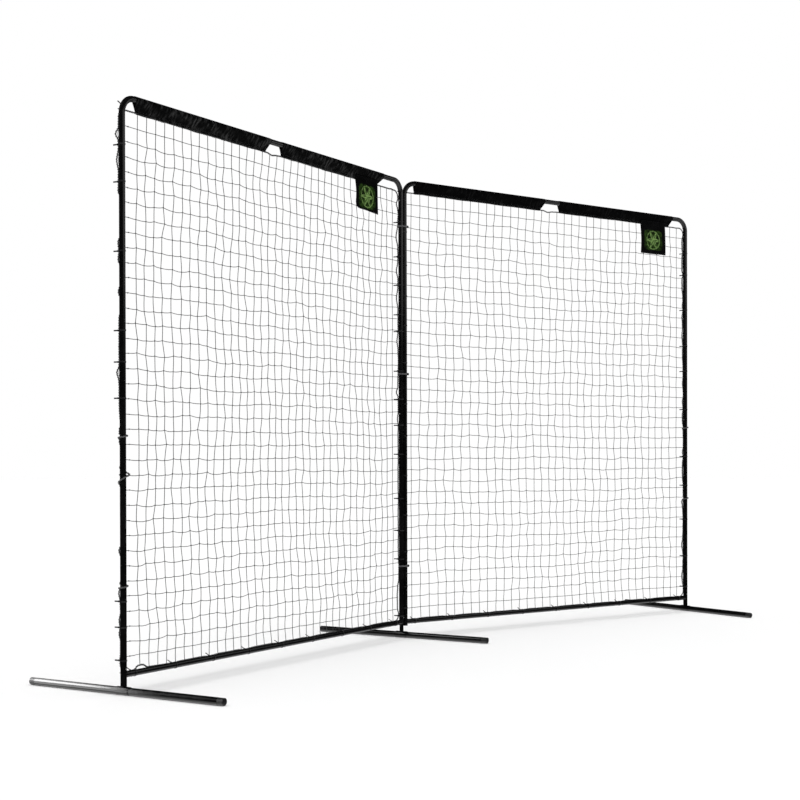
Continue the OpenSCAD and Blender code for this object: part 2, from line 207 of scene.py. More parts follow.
def grid_faces(rows, columns, wrap_columns=False, wrap_rows=False):
    """Quads over a grid of points stored row by row"""
    faces = []
    for r in range(rows if wrap_rows else rows - 1):
        for c in range(columns if wrap_columns else columns - 1):
            r2, c2 = (r + 1) % rows, (c + 1) % columns
            faces.append((r * columns + c, r * columns + c2, r2 * columns + c2, r2 * columns + c))
    return faces


def wrapped_corners(rows, columns):
    """Row, column and the face's first column of each face corner, on a grid that closes on itself across"""
    for r in range(rows):
        for k in range(columns):
            for down, on in ((0, 0), (0, 1), (1, 1), (1, 0)):
                yield r + down, k + on, k


def end_faces(rows, columns):
    """The first and the last row of a grid that closes on itself across, as two faces"""
    return [tuple(range(columns - 1, -1, -1)), tuple((rows - 1) * columns + k for k in range(columns))]


def distance_run(path, closed=False):
    """Distance run at each point of a path, and back at the first point of a closed one"""
    path = np.vstack([path, path[:1]]) if closed else path
    return np.concatenate([[0], np.cumsum(np.linalg.norm(np.diff(path, axis=0), axis=1))])


def carried_frame(path, closed=False):
    """Tangents and least-turning normals along a path, and the turn that a closed path has left over"""
    if closed:
        tangent = np.roll(path, -1, 0) - np.roll(path, 1, 0)
    else:
        tangent = np.gradient(path, axis=0)
    tangent /= np.linalg.norm(tangent, axis=1)[:, None]
    normal = np.cross(tangent[0], (0.3, 0.5, 0.81))
    normal /= np.linalg.norm(normal)
    normals = []
    for t in tangent:
        normal = normal - t * (normal @ t)
        normal /= np.linalg.norm(normal)
        normals.append(normal)
    twist = 0.0
    if closed:
        last = normals[-1] - tangent[0] * (normals[-1] @ tangent[0])
        last /= np.linalg.norm(last)
        twist = math.atan2(np.cross(last, normals[0]) @ tangent[0], last @ normals[0])
    return tangent, np.array(normals), twist


def tube(path, radius, sides=12, closed=False):
    """Points, faces and corner UVs of a round tube along a path. U runs round, V is the length in metres."""
    path = np.asarray(path, float)
    count = len(path)
    radius = np.broadcast_to(radius, count)
    tangent, normals, twist = carried_frame(path, closed)
    across = np.cross(tangent, normals)
    run = distance_run(path, closed=True)
    a = 2 * math.pi * np.arange(sides)[None, :] / sides + (twist * np.arange(count) / count)[:, None]
    ring = np.cos(a)[:, :, None] * normals[:, None, :] + np.sin(a)[:, :, None] * across[:, None, :]
    points = (path[:, None, :] + radius[:, None, None] * ring).reshape(-1, 3)
    faces = grid_faces(count, sides, wrap_columns=True, wrap_rows=closed)
    uv = [(k / sides, run[r]) for r, k, _ in wrapped_corners(count if closed else count - 1, sides)]
    if not closed:
        faces += end_faces(count, sides)
        uv += [(0.5, 0.0)] * (2 * sides)
    return points, faces, uv


def joined(*parts):
    """One set of points, faces and corner UVs from several"""
    points, faces, uv, first = [], [], [], 0
    for part_points, part_faces, part_uv in parts:
        points.append(part_points)
        faces += [tuple(first + k for k in face) for face in part_faces]
        uv += part_uv
        first += len(part_points)
    return np.vstack(points), faces, uv


def winding(path, offset, pitch, steps=8):
    """A path that winds round a closed one at a distance, with whole turns of about the given pitch"""
    ring = np.vstack([path, path[:1]])
    run = distance_run(ring)
    turns = round(run[-1] / pitch)
    at = np.linspace(0, run[-1], turns * steps, endpoint=False)
    centre = np.stack([np.interp(at, run, ring[:, k]) for k in range(3)], 1)
    tangent, normals, twist = carried_frame(centre, closed=True)
    a = (2 * math.pi * turns + twist) * np.arange(len(at)) / len(at)
    return centre + offset * (np.cos(a)[:, None] * normals + np.sin(a)[:, None] * np.cross(tangent, normals))


def eased(at, places, values):
    """Values between given places, each one reached and left without a slope"""
    i = np.clip(np.searchsorted(places, at) - 1, 0, len(places) - 2)
    t = smooth_step(np.clip((at - places[i]) / (places[i + 1] - places[i]), 0, 1))
    return values[i] * (1 - t) + values[i + 1] * t


def smooth_step(t):
    """0 to 1 without a slope at either end"""
    return t * t * (3 - 2 * t)


def smooth_noise(count, step, rng, amount):
    """A soft random line of count values with one bump about every step values"""
    knots = rng.normal(0, amount, int(count / step) + 4)
    x = np.arange(count) / step + 1
    i = x.astype(int)
    f = smooth_step(x - i)
    return knots[i] * (1 - f) + knots[i + 1] * f


# ---- Nodes ----


def formula(operation, swapped=False):
    """An arithmetic operator that adds a node"""

    def operate(self, other=None):
        pair = (other, self) if swapped else (self, other)
        return self.graph.math(operation, *pair)

    return operate


class Value:
    """An output socket that formulas can use"""

    def __init__(self, graph, socket):
        self.graph = graph
        self.socket = socket

    __add__ = formula("ADD")
    __sub__ = formula("SUBTRACT")
    __rsub__ = formula("SUBTRACT", swapped=True)
    __mul__ = formula("MULTIPLY")
    __truediv__ = formula("DIVIDE")
    __rtruediv__ = formula("DIVIDE", swapped=True)
    __pow__ = formula("POWER")
    __abs__ = formula("ABSOLUTE")


class Graph:
    """Adds and joins nodes in one tree"""

    def __init__(self, tree):
        self.tree = tree

    def put(self, socket, value):
        """Joins a value or a list of values to a socket, or sets its constant"""
        if isinstance(value, list):
            for part in value:
                self.put(socket, part)
        elif isinstance(value, Value):
            self.tree.links.new(value.socket, socket)
        elif value is not None:
            socket.default_value = value

    def fill(self, node, **inputs):
        """Feeds a node's inputs by name, with _ for a blank"""
        for name, value in inputs.items():
            self.put(node.inputs[name.replace("_", " ")], value)

    def node(self, kind, inputs=(), **options):
        """Adds a node and feeds its inputs, by number or name. Returns its outputs, by number and name."""
        node = self.tree.nodes.new(kind)
        for name, option in options.items():
            setattr(node, name, option)
        for key, value in dict(inputs).items():
            self.put(node.inputs[key], value)
        outputs = {}
        for k, socket in enumerate(node.outputs):
            outputs[k] = Value(self, socket)
            outputs.setdefault(socket.name, outputs[k])
        return outputs

    def math(self, operation, a, b=None, clamp=False):
        """What a sum or function of one or two values gives"""
        return self.node("ShaderNodeMath", {0: a, 1: b}, operation=operation, use_clamp=clamp)[0]

    def vector(self, operation, a, b=None, scale=None):
        """What a sum or product of vectors gives"""
        inputs = {0: a, 1: b} if scale is None else {0: a, "Scale": scale}
        out = self.node("ShaderNodeVectorMath", inputs, operation=operation)
        return out["Value" if operation == "DOT_PRODUCT" else "Vector"]

    def split(self, vector):
        """The X, Y and Z of a vector"""
        out = self.node("ShaderNodeSeparateXYZ", {0: vector})
        return out[0], out[1], out[2]

    def join(self, x, y, z):
        """A vector from X, Y and Z"""
        return self.node("ShaderNodeCombineXYZ", {0: x, 1: y, 2: z})[0]

    def noise(self, vector, scale, detail=2.0, roughness=0.5):
        """Cloudy values between 0 and 1"""
        inputs = {"Vector": vector, "Scale": scale, "Detail": detail, "Roughness": roughness}
        return self.node("ShaderNodeTexNoise", inputs)["Fac"]

    def ramp(self, value, low, high, out_low=0.0, out_high=1.0):
        """Takes low..high to out_low..out_high, softly at both ends"""
        inputs = {"Value": value, "From Min": low, "From Max": high, "To Min": out_low, "To Max": out_high}
        return self.node("ShaderNodeMapRange", inputs, interpolation_type="SMOOTHSTEP")["Result"]

    def mix(self, factor, a, b):
        """A colour between two, each a value or three numbers"""
        a, b = (c if isinstance(c, Value) else (*c, 1.0) for c in (a, b))
        return self.node("ShaderNodeMix", {0: factor, 6: a, 7: b}, data_type="RGBA")[2]

    def bump(self, height, distance, strength):
        """A normal from a height"""
        inputs = {"Height": height, "Distance": distance, "Strength": strength}
        return self.node("ShaderNodeBump", inputs)["Normal"]

    def group(self, tree, **inputs):
        """A node group with its inputs fed, with _ for a blank"""
        named = {name.replace("_", " "): value for name, value in inputs.items()}
        return self.node("ShaderNodeGroup", named, node_tree=tree)


def add_inputs(tree, inputs):
    """Named inputs of a tree, each with its default number or the kind of socket that it is"""
    for label, given in inputs.items():
        if isinstance(given, str):
            tree.interface.new_socket(label, in_out="INPUT", socket_type="NodeSocket" + given)
        else:
            kind = "NodeSocketInt" if isinstance(given, int) else "NodeSocketFloat"
            tree.interface.new_socket(label, in_out="INPUT", socket_type=kind).default_value = given


# ---- Shader node groups ----


def shader_group(name, inputs, outputs, build):
    """A shader node group, built once. build takes its graph and inputs and gives a value for each output."""
    tree = bpy.data.node_groups.get(name)
    if tree:
        return tree
    tree = bpy.data.node_groups.new(name, "ShaderNodeTree")
    add_inputs(tree, inputs)
    for label in outputs:
        tree.interface.new_socket(label, in_out="OUTPUT", socket_type="NodeSocketFloat")
    g = Graph(tree)
    inside = g.node("NodeGroupInput")
    g.node("NodeGroupOutput", zip(outputs, build(g, inside)))
    return tree


def coat_group():
    """Powder coat: orange peel, handling scuffs and settled dust"""

    def build(g, i):
        where = i["Vector"]
        cloudy = g.noise(where, 7.0, 4.0, 0.6)
        stretched = g.vector("MULTIPLY", where, (60.0, 60.0, 14.0))
        scratch = g.ramp(g.noise(stretched, 4.0, 5.0, 0.65), 0.66, 0.74)
        scuffs = scratch * g.ramp(g.noise(where, 3.0), 0.45, 0.7) * i["Scuffs"]
        dust = g.ramp(cloudy, 0.42, 0.8) * i["Dust"]
        mask = g.math("ADD", dust, scuffs, clamp=True)
        roughness = g.math("ADD", i["Roughness"] + cloudy * 0.10, scuffs * 0.3, clamp=True)
        return mask, roughness, g.noise(where, i["Peel Scale"]) - scuffs * 0.6

    inputs = {"Vector": "Vector", "Peel Scale": 420.0, "Roughness": 0.2, "Scuffs": 0.4, "Dust": 0.1}
    return shader_group("Powder Coat", inputs, ("Mask", "Roughness", "Height"), build)


def weave_group():
    """Plain weave over a UV map in metres"""

    def build(g, i):
        wobble = g.noise(i["Vector"], 60.0) * 0.8
        x, y, _ = g.split(i["Vector"])
        pitch = math.pi / i["Thread"]
        warp = g.math("SINE", x * pitch + wobble)
        weft = g.math("SINE", y * pitch + wobble)
        over = warp * weft * 0.5 + 0.5
        ribs = abs(warp) * abs(weft)
        fibre = g.noise(i["Vector"], 1400.0)
        return over * 0.6 + fibre * 0.4, ribs * 0.8 + fibre * 0.2

    return shader_group("Plain Weave", {"Vector": "Vector", "Thread": 0.0009}, ("Tone", "Height"), build)


def lay_group():
    """Twisted or braided strands of a twine or cord, as crossing diagonal ridges. Its Tone is painted shade,
    darker in the grooves and lighter on the ridges, with some real fibre grain
    """

    def build(g, i):
        scaled = g.vector("SCALE", i["Vector"], scale=2 * math.pi / i["Pitch"])
        one = g.math("SINE", g.vector("DOT_PRODUCT", scaled, (0.75, 0.45, 0.72)))
        two = g.math("SINE", g.vector("DOT_PRODUCT", scaled, (0.75, -0.45, -0.72)))
        ridge = one + one * two * i["Braid"]
        height = ridge * 0.35 + g.noise(i["Vector"], 900.0, 3.0, 0.7) * 0.4
        # Tone follows the height: painted shade in the grooves between strands, and fibre grain from the
        # noise
        return g.math("ADD", height * 0.5, 0.4, clamp=True), height

    inputs = {"Vector": "Vector", "Pitch": 0.006, "Braid": 0.0}
    return shader_group("Cord Lay", inputs, ("Tone", "Height"), build)


def rosette_group():
    """A worn square patch of print with a compass-drawn rosette: a plain six-petal figure in a ring"""
    petal_r, ring_r = 0.72, 0.84

    def build(g, i):
        x, y, _ = g.split(i["Vector"])
        r = g.math("SQRT", x * x + y * y)
        fold = g.math("PINGPONG", g.math("ARCTAN2", y, x), math.pi / 6)
        fx, fy = r * g.math("COSINE", fold), r * g.math("SINE", fold)
        petals = None
        for angle in np.radians((-60, 0, 60)):
            dx, dy = fx - petal_r * math.cos(angle), fy - petal_r * math.sin(angle)
            off = abs(g.math("SQRT", dx * dx + dy * dy) - petal_r)
            petals = off if petals is None else g.math("MINIMUM", petals, off)
        lines = g.ramp(petals, 0.095, 0.02) * g.ramp(r, 0.80, 0.72)
        ring = g.ramp(abs(r - ring_r), 0.09, 0.02) * 0.75
        patch = abs(x / i["Patch Width"]) ** 6.0 + abs(y) ** 6.0
        worn = g.noise(i["Vector"], 3.4, 4.0, 0.65)
        drawn = g.math("MAXIMUM", lines, ring) * g.ramp(worn, 0.36, 0.56, 0.16, 0.95)
        return drawn, g.ramp(patch, 1.0, 0.45) * g.ramp(worn, 0.3, 0.6, 0.55, 1.0)

    return shader_group("Rosette Print", {"Vector": "Vector", "Patch Width": 1.25}, ("Lines", "Field"), build)


# ---- Materials ----


def new_material(name):
    """A material, its graph and its Principled surface"""
    material = bpy.data.materials.new(name)
    material.use_nodes = True
    shader = next(n for n in material.node_tree.nodes if n.type == "BSDF_PRINCIPLED")
    return material, Graph(material.node_tree), shader


def object_vector(g):
    """The place on the object"""
    return g.node("ShaderNodeTexCoord")["Object"]


def uv_vector(g):
    """The place on the UV map"""
    return g.node("ShaderNodeUVMap", uv_map="UVMap")["UV"]


def tint(base, factor, more=0.0):
    """A lighter or darker colour"""
    return tuple(min(1.0, c * factor + more) for c in base)


def coated(name, base, worn, peel, roughness, scuffs, dust, grain, relief):
    """Black coat or plastic with a fine grain, and scuffs and dust of the worn colour"""
    material, g, shader = new_material(name)
    where = object_vector(g)
    coat = g.group(coat_group(), Vector=where, Peel_Scale=peel, Roughness=roughness, Scuffs=scuffs, Dust=dust)
    surface = g.bump(coat["Height"], grain, relief)
    g.fill(shader, Base_Color=g.mix(coat["Mask"], base, worn), Roughness=coat["Roughness"], Normal=surface)
    return material


def powder_coat(name, roughness, scuffs, dust):
    """Gloss black powder coat on steel tube"""
    paint = settings().finish.paint
    return coated(name, paint, (0.16, 0.155, 0.15), 420.0, roughness, scuffs, dust, 0.00012, 0.35)


def black_plastic(name, roughness, peel, grain=0.00015):
    """Moulded black plastic with a fine spark grain"""
    return coated(name, (0.011, 0.011, 0.012), (0.10, 0.10, 0.098), peel, roughness, 0.7, 0.25, grain, 0.5)


def zinc_steel(name):
    """Zinc-plated spring steel"""
    material, g, shader = new_material(name)
    cloud = g.noise(object_vector(g), 260.0, 4.0, 0.6)
    plating = g.mix(cloud, (0.42, 0.43, 0.44), (0.66, 0.66, 0.65))
    rough = g.ramp(cloud, 0.3, 0.7, 0.26, 0.42)
    g.fill(shader, Base_Color=plating, Metallic=1.0, Roughness=rough, Normal=g.bump(cloud, 0.0001, 0.4))
    return material


def corded(name, base, pitch, braid, depth):
    """Twine or cord of polyethylene fibre, with painted shade in the grooves between its strands"""
    material, g, shader = new_material(name)
    where = object_vector(g)
    lay = g.group(lay_group(), Vector=where, Pitch=pitch, Braid=braid)
    # Painted shade: the lay's Tone darkens the grooves between strands; the cloudy noise over it is the
    # fibre's own uneven tone
    fibre = g.mix(lay["Tone"] * g.noise(where, 5.0, 3.0), tint(base, 0.6), tint(base, 2.1, 0.004))
    g.fill(shader, Base_Color=fibre, Roughness=0.62, Sheen_Weight=0.15, Sheen_Roughness=0.5)
    g.fill(shader, Normal=g.bump(lay["Height"], depth, 0.7))
    return material


def cloth_surface(g, shader, where, shine, crease_sheen):
    """Woven polyester: weave, and a painted sheen that makes patches along the creases paler by the given
    amount
    """
    base = settings().finish.cloth
    weave = g.group(weave_group(), Vector=where, Thread=0.0009)
    fine = g.noise(where, 85.0, 4.0, 0.6)
    aslant = {"Vector": where, "Rotation": (0.0, 0.0, math.radians(28)), "Scale": (1.0, 0.34, 1.0)}
    creases = g.noise(g.node("ShaderNodeMapping", aslant)[0], 62.0)
    # Painted sheen, not wear: this mask makes patches along the slanted creases paler, as highlights
    worn = g.ramp(g.noise(where, 11.0, 3.0, 0.55), 0.38, 0.64) * g.ramp(creases, 0.40, 0.72)
    tone = g.mix(weave["Tone"] * 0.45, tint(base, 0.75), base)
    surface = g.bump(weave["Height"] * 0.25 + fine * 0.9, 0.0009, 0.8)
    g.fill(shader, Specular_IOR_Level=shine, Roughness=g.ramp(fine, 0.3, 0.7, 0.52, 0.68), Normal=surface)
    return g.mix(worn * 0.75, tone, tint(base, 1.0, crease_sheen))


def plain_cloth(name, shine, crease_sheen):
    """Sleeve cloth without a print"""
    material, g, shader = new_material(name)
    g.fill(shader, Base_Color=cloth_surface(g, shader, uv_vector(g), shine, crease_sheen))
    return material


def flap_cloth(name, centre, reach):
    """Flap cloth with the worn green print. centre and reach are in metres on the flap's UV map."""
    finish = settings().finish
    material, g, shader = new_material(name)
    where = uv_vector(g)
    cloth = cloth_surface(g, shader, where, FLAP_SHINE, FLAP_CREASE_SHEEN)
    place = g.vector("SCALE", g.vector("SUBTRACT", where, (*centre, 0.0)), scale=1.0 / reach)
    badge = g.group(rosette_group(), Vector=place)
    blotch = g.ramp(g.noise(where, 30.0, 3.0, 0.6), 0.38, 0.62)
    field = g.mix(blotch, tint(finish.print_green, 0.15), finish.print_green)
    printed = g.mix(badge["Lines"], g.mix(badge["Field"], cloth, field), finish.print_pale)
    g.fill(shader, Base_Color=printed)
    return material


def webbing(name, base):
    """Ribbed strap webbing with fraying fibres"""
    material, g, shader = new_material(name)
    where = uv_vector(g)
    weave = g.group(weave_group(), Vector=where, Thread=0.0016)
    soil = g.ramp(g.noise(where, 30.0, 4.0, 0.6), 0.35, 0.75) * 0.35
    light = g.mix(weave["Tone"] * 0.6, base, tint(base, 0.62))
    surface = g.bump(weave["Height"], 0.0006, 0.8)
    band = g.mix(soil, light, tint(base, 0.4))
    g.fill(shader, Base_Color=band, Roughness=0.7, Sheen_Weight=0.1, Normal=surface)
    return material


def thread(name, base):
    """Spun sewing thread"""
    material, g, shader = new_material(name)
    fuzz = g.noise(object_vector(g), 1200.0)
    spun = g.mix(fuzz, tint(base, 0.6), base)
    g.fill(shader, Base_Color=spun, Roughness=0.55, Normal=g.bump(fuzz, 0.0002, 0.6))
    return material


def studio_floor(name, base):
    """Pale matt studio floor"""
    material, g, shader = new_material(name)
    cloud = g.noise(object_vector(g), 0.6, 3.0)
    g.fill(shader, Base_Color=g.mix(cloud, base, tint(base, 1.02)), Roughness=0.8, Specular_IOR_Level=0.2)
    return material


# ---- Geometry node trees ----


def geometry_tree(name, inputs):
    """The graph and the inputs of a new geometry node tree"""
    tree = bpy.data.node_groups.new(name, "GeometryNodeTree")
    add_inputs(tree, {"Geometry": "Geometry", **inputs})
    tree.interface.new_socket("Geometry", in_out="OUTPUT", socket_type="NodeSocketGeometry")
    g = Graph(tree)
    return g, g.node("NodeGroupInput")


def finish_tree(g, geometry, material):
    """Ends a tree in smooth shading, real geometry and its material"""
    soft = g.node("GeometryNodeSetShadeSmooth", {"Geometry": geometry})[0]
    real = g.node("GeometryNodeRealizeInstances", {"Geometry": soft})[0]
    painted = g.node("GeometryNodeSetMaterial", {"Geometry": real, "Material": material})[0]
    g.node("NodeGroupOutput", {0: painted})
    return g.tree


def run_tree(name, tree, values, points=None, edges=None, matrix=None):
    """Evaluates a tree on a mesh of points and edges, and returns the result as a plain mesh object"""
    carrier_mesh = bpy.data.meshes.new(name + "_carrier")
    if points is not None:
        carrier_mesh.from_pydata([tuple(p) for p in points], [tuple(e) for e in edges], [])
    carrier = linked_object(name + "_carrier", carrier_mesh)
    modifier = carrier.modifiers.new("Shape", "NODES")
    modifier.node_group = tree
    for item in tree.interface.items_tree:
        if item.item_type == "SOCKET" and item.in_out == "INPUT" and item.name in values:
            modifier[item.identifier] = values[item.name]
    carrier.update_tag()
    bpy.context.view_layer.update()
    evaluated = carrier.evaluated_get(bpy.context.evaluated_depsgraph_get())
    mesh = bpy.data.meshes.new_from_object(evaluated)
    carrier.modifiers.clear()
    bpy.data.objects.remove(carrier)
    if not mesh.polygons:
        raise RuntimeError(f"{name}: the node tree made no faces")
    if matrix is not None:
        mesh.transform(matrix)
    mesh.name = name
    return linked_object(name, mesh)


def net_tree():
    """Knotted square net in the XZ plane: two sets of twines and their knots, all drifting together"""
    g, i = geometry_tree(
        "Knotted Net",
        {
            "Width": 2.66,
            "Height": 2.8,
            "Columns": 37,
            "Rows": 37,
            "Twine Radius": 0.002,
            "Knot Radius": 0.005,
            "Wander": 0.01,
            "Jog": 0.007,
            "Bare Left": 0.0,
            "Sag": 0.003,
            "Belly": 0.02,
            "Seed": 0.0,
            "Material": "Material",
        },
    )
    margin = 0.20
    place = g.node("GeometryNodeInputPosition")[0]
    x, y, _ = g.split(place)
    half_w, half_h = i["Width"] / 2.0, i["Height"] / 2.0
    held = g.ramp(half_w - abs(x), 0.0, margin) * g.ramp(half_h - abs(y), 0.0, margin)

    def centred(noise):
        """A random shift to either side"""
        return g.vector("SUBTRACT", noise["Color"], (0.5, 0.5, 0.5))

    def drift(scale, amount):
        """A soft shift of the whole mesh, less at its border"""
        inputs = {"Vector": place, "W": i["Seed"], "Scale": scale, "Detail": 1.0}
        noise = g.node("ShaderNodeTexNoise", inputs, noise_dimensions="4D")
        return g.vector("SCALE", centred(noise), scale=i["Wander"] * held * amount)

    moves = g.vector("ADD", drift(1.1, 3.2), drift(5.5, 1.1))
    columns = (x + half_w) / i["Width"] * i["Columns"]
    rows = (y + half_h) / i["Height"] * i["Rows"]

    def slip(column, row):
        """How far the knot of a column and a row has slipped"""
        knot_place = g.join(column, row, i["Seed"])
        noise = g.node("ShaderNodeTexWhiteNoise", {"Vector": knot_place}, noise_dimensions="3D")
        return g.vector("MULTIPLY", centred(noise), (2.0, 1.7, 1.4))

    def between_knots(along, other, upright):
        """The slip along a twine, carried evenly from each knot to the next"""
        first = g.math("FLOOR", along + 0.001)
        line = g.math("ROUND", other)
        pair = [slip(line, k) if upright else slip(k, line) for k in (first, first + 1.0)]
        share = g.math("SUBTRACT", along, first, clamp=True)
        blend = g.node("ShaderNodeMix", {0: share, 4: pair[0], 5: pair[1]}, data_type="VECTOR")[1]
        return g.vector("SCALE", blend, scale=i["Jog"] * held)

    hang = 1.0 - g.math("COSINE", columns * (2 * math.pi))
    droop = hang * 0.5 * (i["Sag"] * held)
    bow_x = g.math("COSINE", x / i["Width"] * math.pi)
    bow_y = g.math("COSINE", y / i["Height"] * math.pi)
    bow = bow_x * bow_y * i["Belly"]

    def target(slipped):
        """Where a point of a twine ends up"""
        shift = g.split(g.vector("ADD", moves, slipped))
        return g.join(x + half_w + shift[0], bow + shift[2], y + half_h + shift[1] - droop)

    level_target = target(between_knots(columns, rows, False))
    upright_target = target(between_knots(rows, columns, True))

    ends = g.node("GeometryNodeInputMeshEdgeVertices")
    span = g.split(g.vector("SUBTRACT", ends["Position 1"], ends["Position 2"]))
    spot = g.split(ends["Position 1"])

    def grid(fine_x, fine_y):
        """A flat grid with some points between the knots"""
        inputs = {"Size X": i["Width"], "Size Y": i["Height"]}
        inputs.update({"Vertices X": i["Columns"] * fine_x + 1.0, "Vertices Y": i["Rows"] * fine_y + 1.0})
        return g.node("GeometryNodeMeshGrid", inputs)["Mesh"]

    def placed(geometry, where):
        """Geometry moved to where its points end up"""
        return g.node("GeometryNodeSetPosition", {"Geometry": geometry, "Position": where})[0]

    def twines(across, flat, limit, where):
        """The twines that run one way: a grid without its other edges and its border, as thin tubes"""
        slope, near = 1e-4, 1e-3
        wrong_way = g.math("GREATER_THAN", abs(span[across]), slope)
        on_border = g.math("GREATER_THAN", abs(spot[across]), limit - near)
        unwanted = g.math("MAXIMUM", wrong_way, on_border)
        if across == 0:
            bare = g.math("LESS_THAN", spot[0] + half_w, i["Bare Left"])
            unwanted = g.math("MAXIMUM", unwanted, bare)
        inputs = {"Geometry": flat, "Selection": unwanted}
        left = g.node("GeometryNodeDeleteGeometry", inputs, domain="EDGE", mode="EDGE_FACE")[0]
        line = g.node("GeometryNodeMeshToCurve", {0: placed(left, where)})[0]
        inputs = {"Resolution": 5, "Radius": i["Twine Radius"]}
        ring = g.node("GeometryNodeCurvePrimitiveCircle", inputs)["Curve"]
        inputs = {"Curve": line, "Profile Curve": ring, "Fill Caps": True}
        return g.node("GeometryNodeCurveToMesh", inputs)["Mesh"]

    def between(low, high):
        """A random vector for each knot"""
        return g.node("FunctionNodeRandomValue", {0: low, 1: high}, data_type="FLOAT_VECTOR")[0]

    level = twines(1, grid(3.0, 1.0), half_h, level_target)
    upright = twines(0, grid(1.0, 2.0), half_w, upright_target)
    knot = g.node("GeometryNodeMeshUVSphere", {"Segments": 7, "Rings": 4, "Radius": i["Knot Radius"]})["Mesh"]
    tied = g.node(
        "GeometryNodeInstanceOnPoints",
        {
            "Points": placed(grid(1.0, 1.0), level_target),
            "Selection": g.math("GREATER_THAN", x + half_w, i["Bare Left"]),
            "Instance": knot,
            "Rotation": between((-0.5, -0.9, -0.5), (0.5, 0.9, 0.5)),
            "Scale": between((0.95, 0.62, 0.75), (1.35, 0.9, 1.1)),
        },
    )[0]
    whole = g.node("GeometryNodeJoinGeometry", {0: [tied, upright, level]})[0]
    return finish_tree(g, whole, i["Material"])


def stitch_tree():
    """A running stitch of small raised threads along every line of the carrier mesh"""
    inputs = {"Pitch": 0.005, "Length": 0.0036, "Thickness": 0.0007, "Material": "Material"}
    g, i = geometry_tree("Running Stitch", inputs)
    line = g.node("GeometryNodeMeshToCurve", {0: i["Geometry"]})[0]
    steps = g.node("GeometryNodeCurveToPoints", {"Curve": line, "Length": i["Pitch"]}, mode="LENGTH")
    aim = g.node("FunctionNodeAlignRotationToVector", {"Vector": steps["Tangent"]}, axis="Z")[0]
    bead = g.node("GeometryNodeMeshUVSphere", {"Segments": 6, "Rings": 4, "Radius": 0.5})["Mesh"]
    size = g.join(i["Thickness"], i["Thickness"], i["Length"])
    inputs = {"Points": steps["Points"], "Instance": bead, "Rotation": aim, "Scale": size}
    sewn = g.node("GeometryNodeInstanceOnPoints", inputs)[0]
    return finish_tree(g, sewn, i["Material"])


# ---- Operators ----

# The camera's place, its turns in degrees, and its focal length and shift in pixels of the picture's width
CAMERA_PLACE = (-6.99025, -6.17032, 1.18871)
CAMERA_YAW, CAMERA_PITCH, CAMERA_ROLL = 47.32, -0.354, -0.12
PICTURE_WIDTH, FOCAL_LENGTH, SHIFT_RIGHT, SHIFT_UP = 800, 1447.2, -1.2, 64.9
SENSOR_WIDTH = 36.0
FLOOR_REACH, FLOOR_HEIGHT = 60.0, -0.0004
# Softboxes for the gloss: place, aim, width, height, turn in degrees, strength and the one foot that is lit
SOFTBOXES = {
    "front_softbox": ((-0.9, -4.6, 3.6), (-2.0, 0.0, 3.6), 4.4, 2.0, 0, 0.8, None),
    "side_softbox": ((3.4, -2.6, 3.6), (-0.5, 0.0, 3.6), 3.4, 2.0, 0, 0.9, None),
    "high_softbox": ((-13.4, 8.6, 18.3), (-2.6, -0.3, 18.3), 4.2, 23.4, 0, 0.6, None),
    "left_foot_strip": ((-3.775, 1.313, 1.092), (-2.455, -0.006, -0.074), 0.62, 1.45, 40.5, 19, "left_foot"),
    "left_foot_rim": ((-2.448, 2.108, 1.694), (-1.129, 0.789, 0.528), 1.7, 0.8, 0, 3.5, "left_foot"),
    "left_foot_fill": ((-4.533, 1.223, 0.337), (-2.7, 0.1, 0.02), 0.9, 0.6, 0, 4.5, "left_foot"),
    "left_foot_bounce": ((-3.847, 0.847, -0.339), (-2.734, 0.280, 0.019), 0.7, 0.75, 0, 4.5, "left_foot"),
    "middle_foot_strip": ((-1.35, 0.914, 1.74), (0.21, 0.012, 0.478), 0.66, 0.95, 32.0, 3.2, "middle_foot"),
}


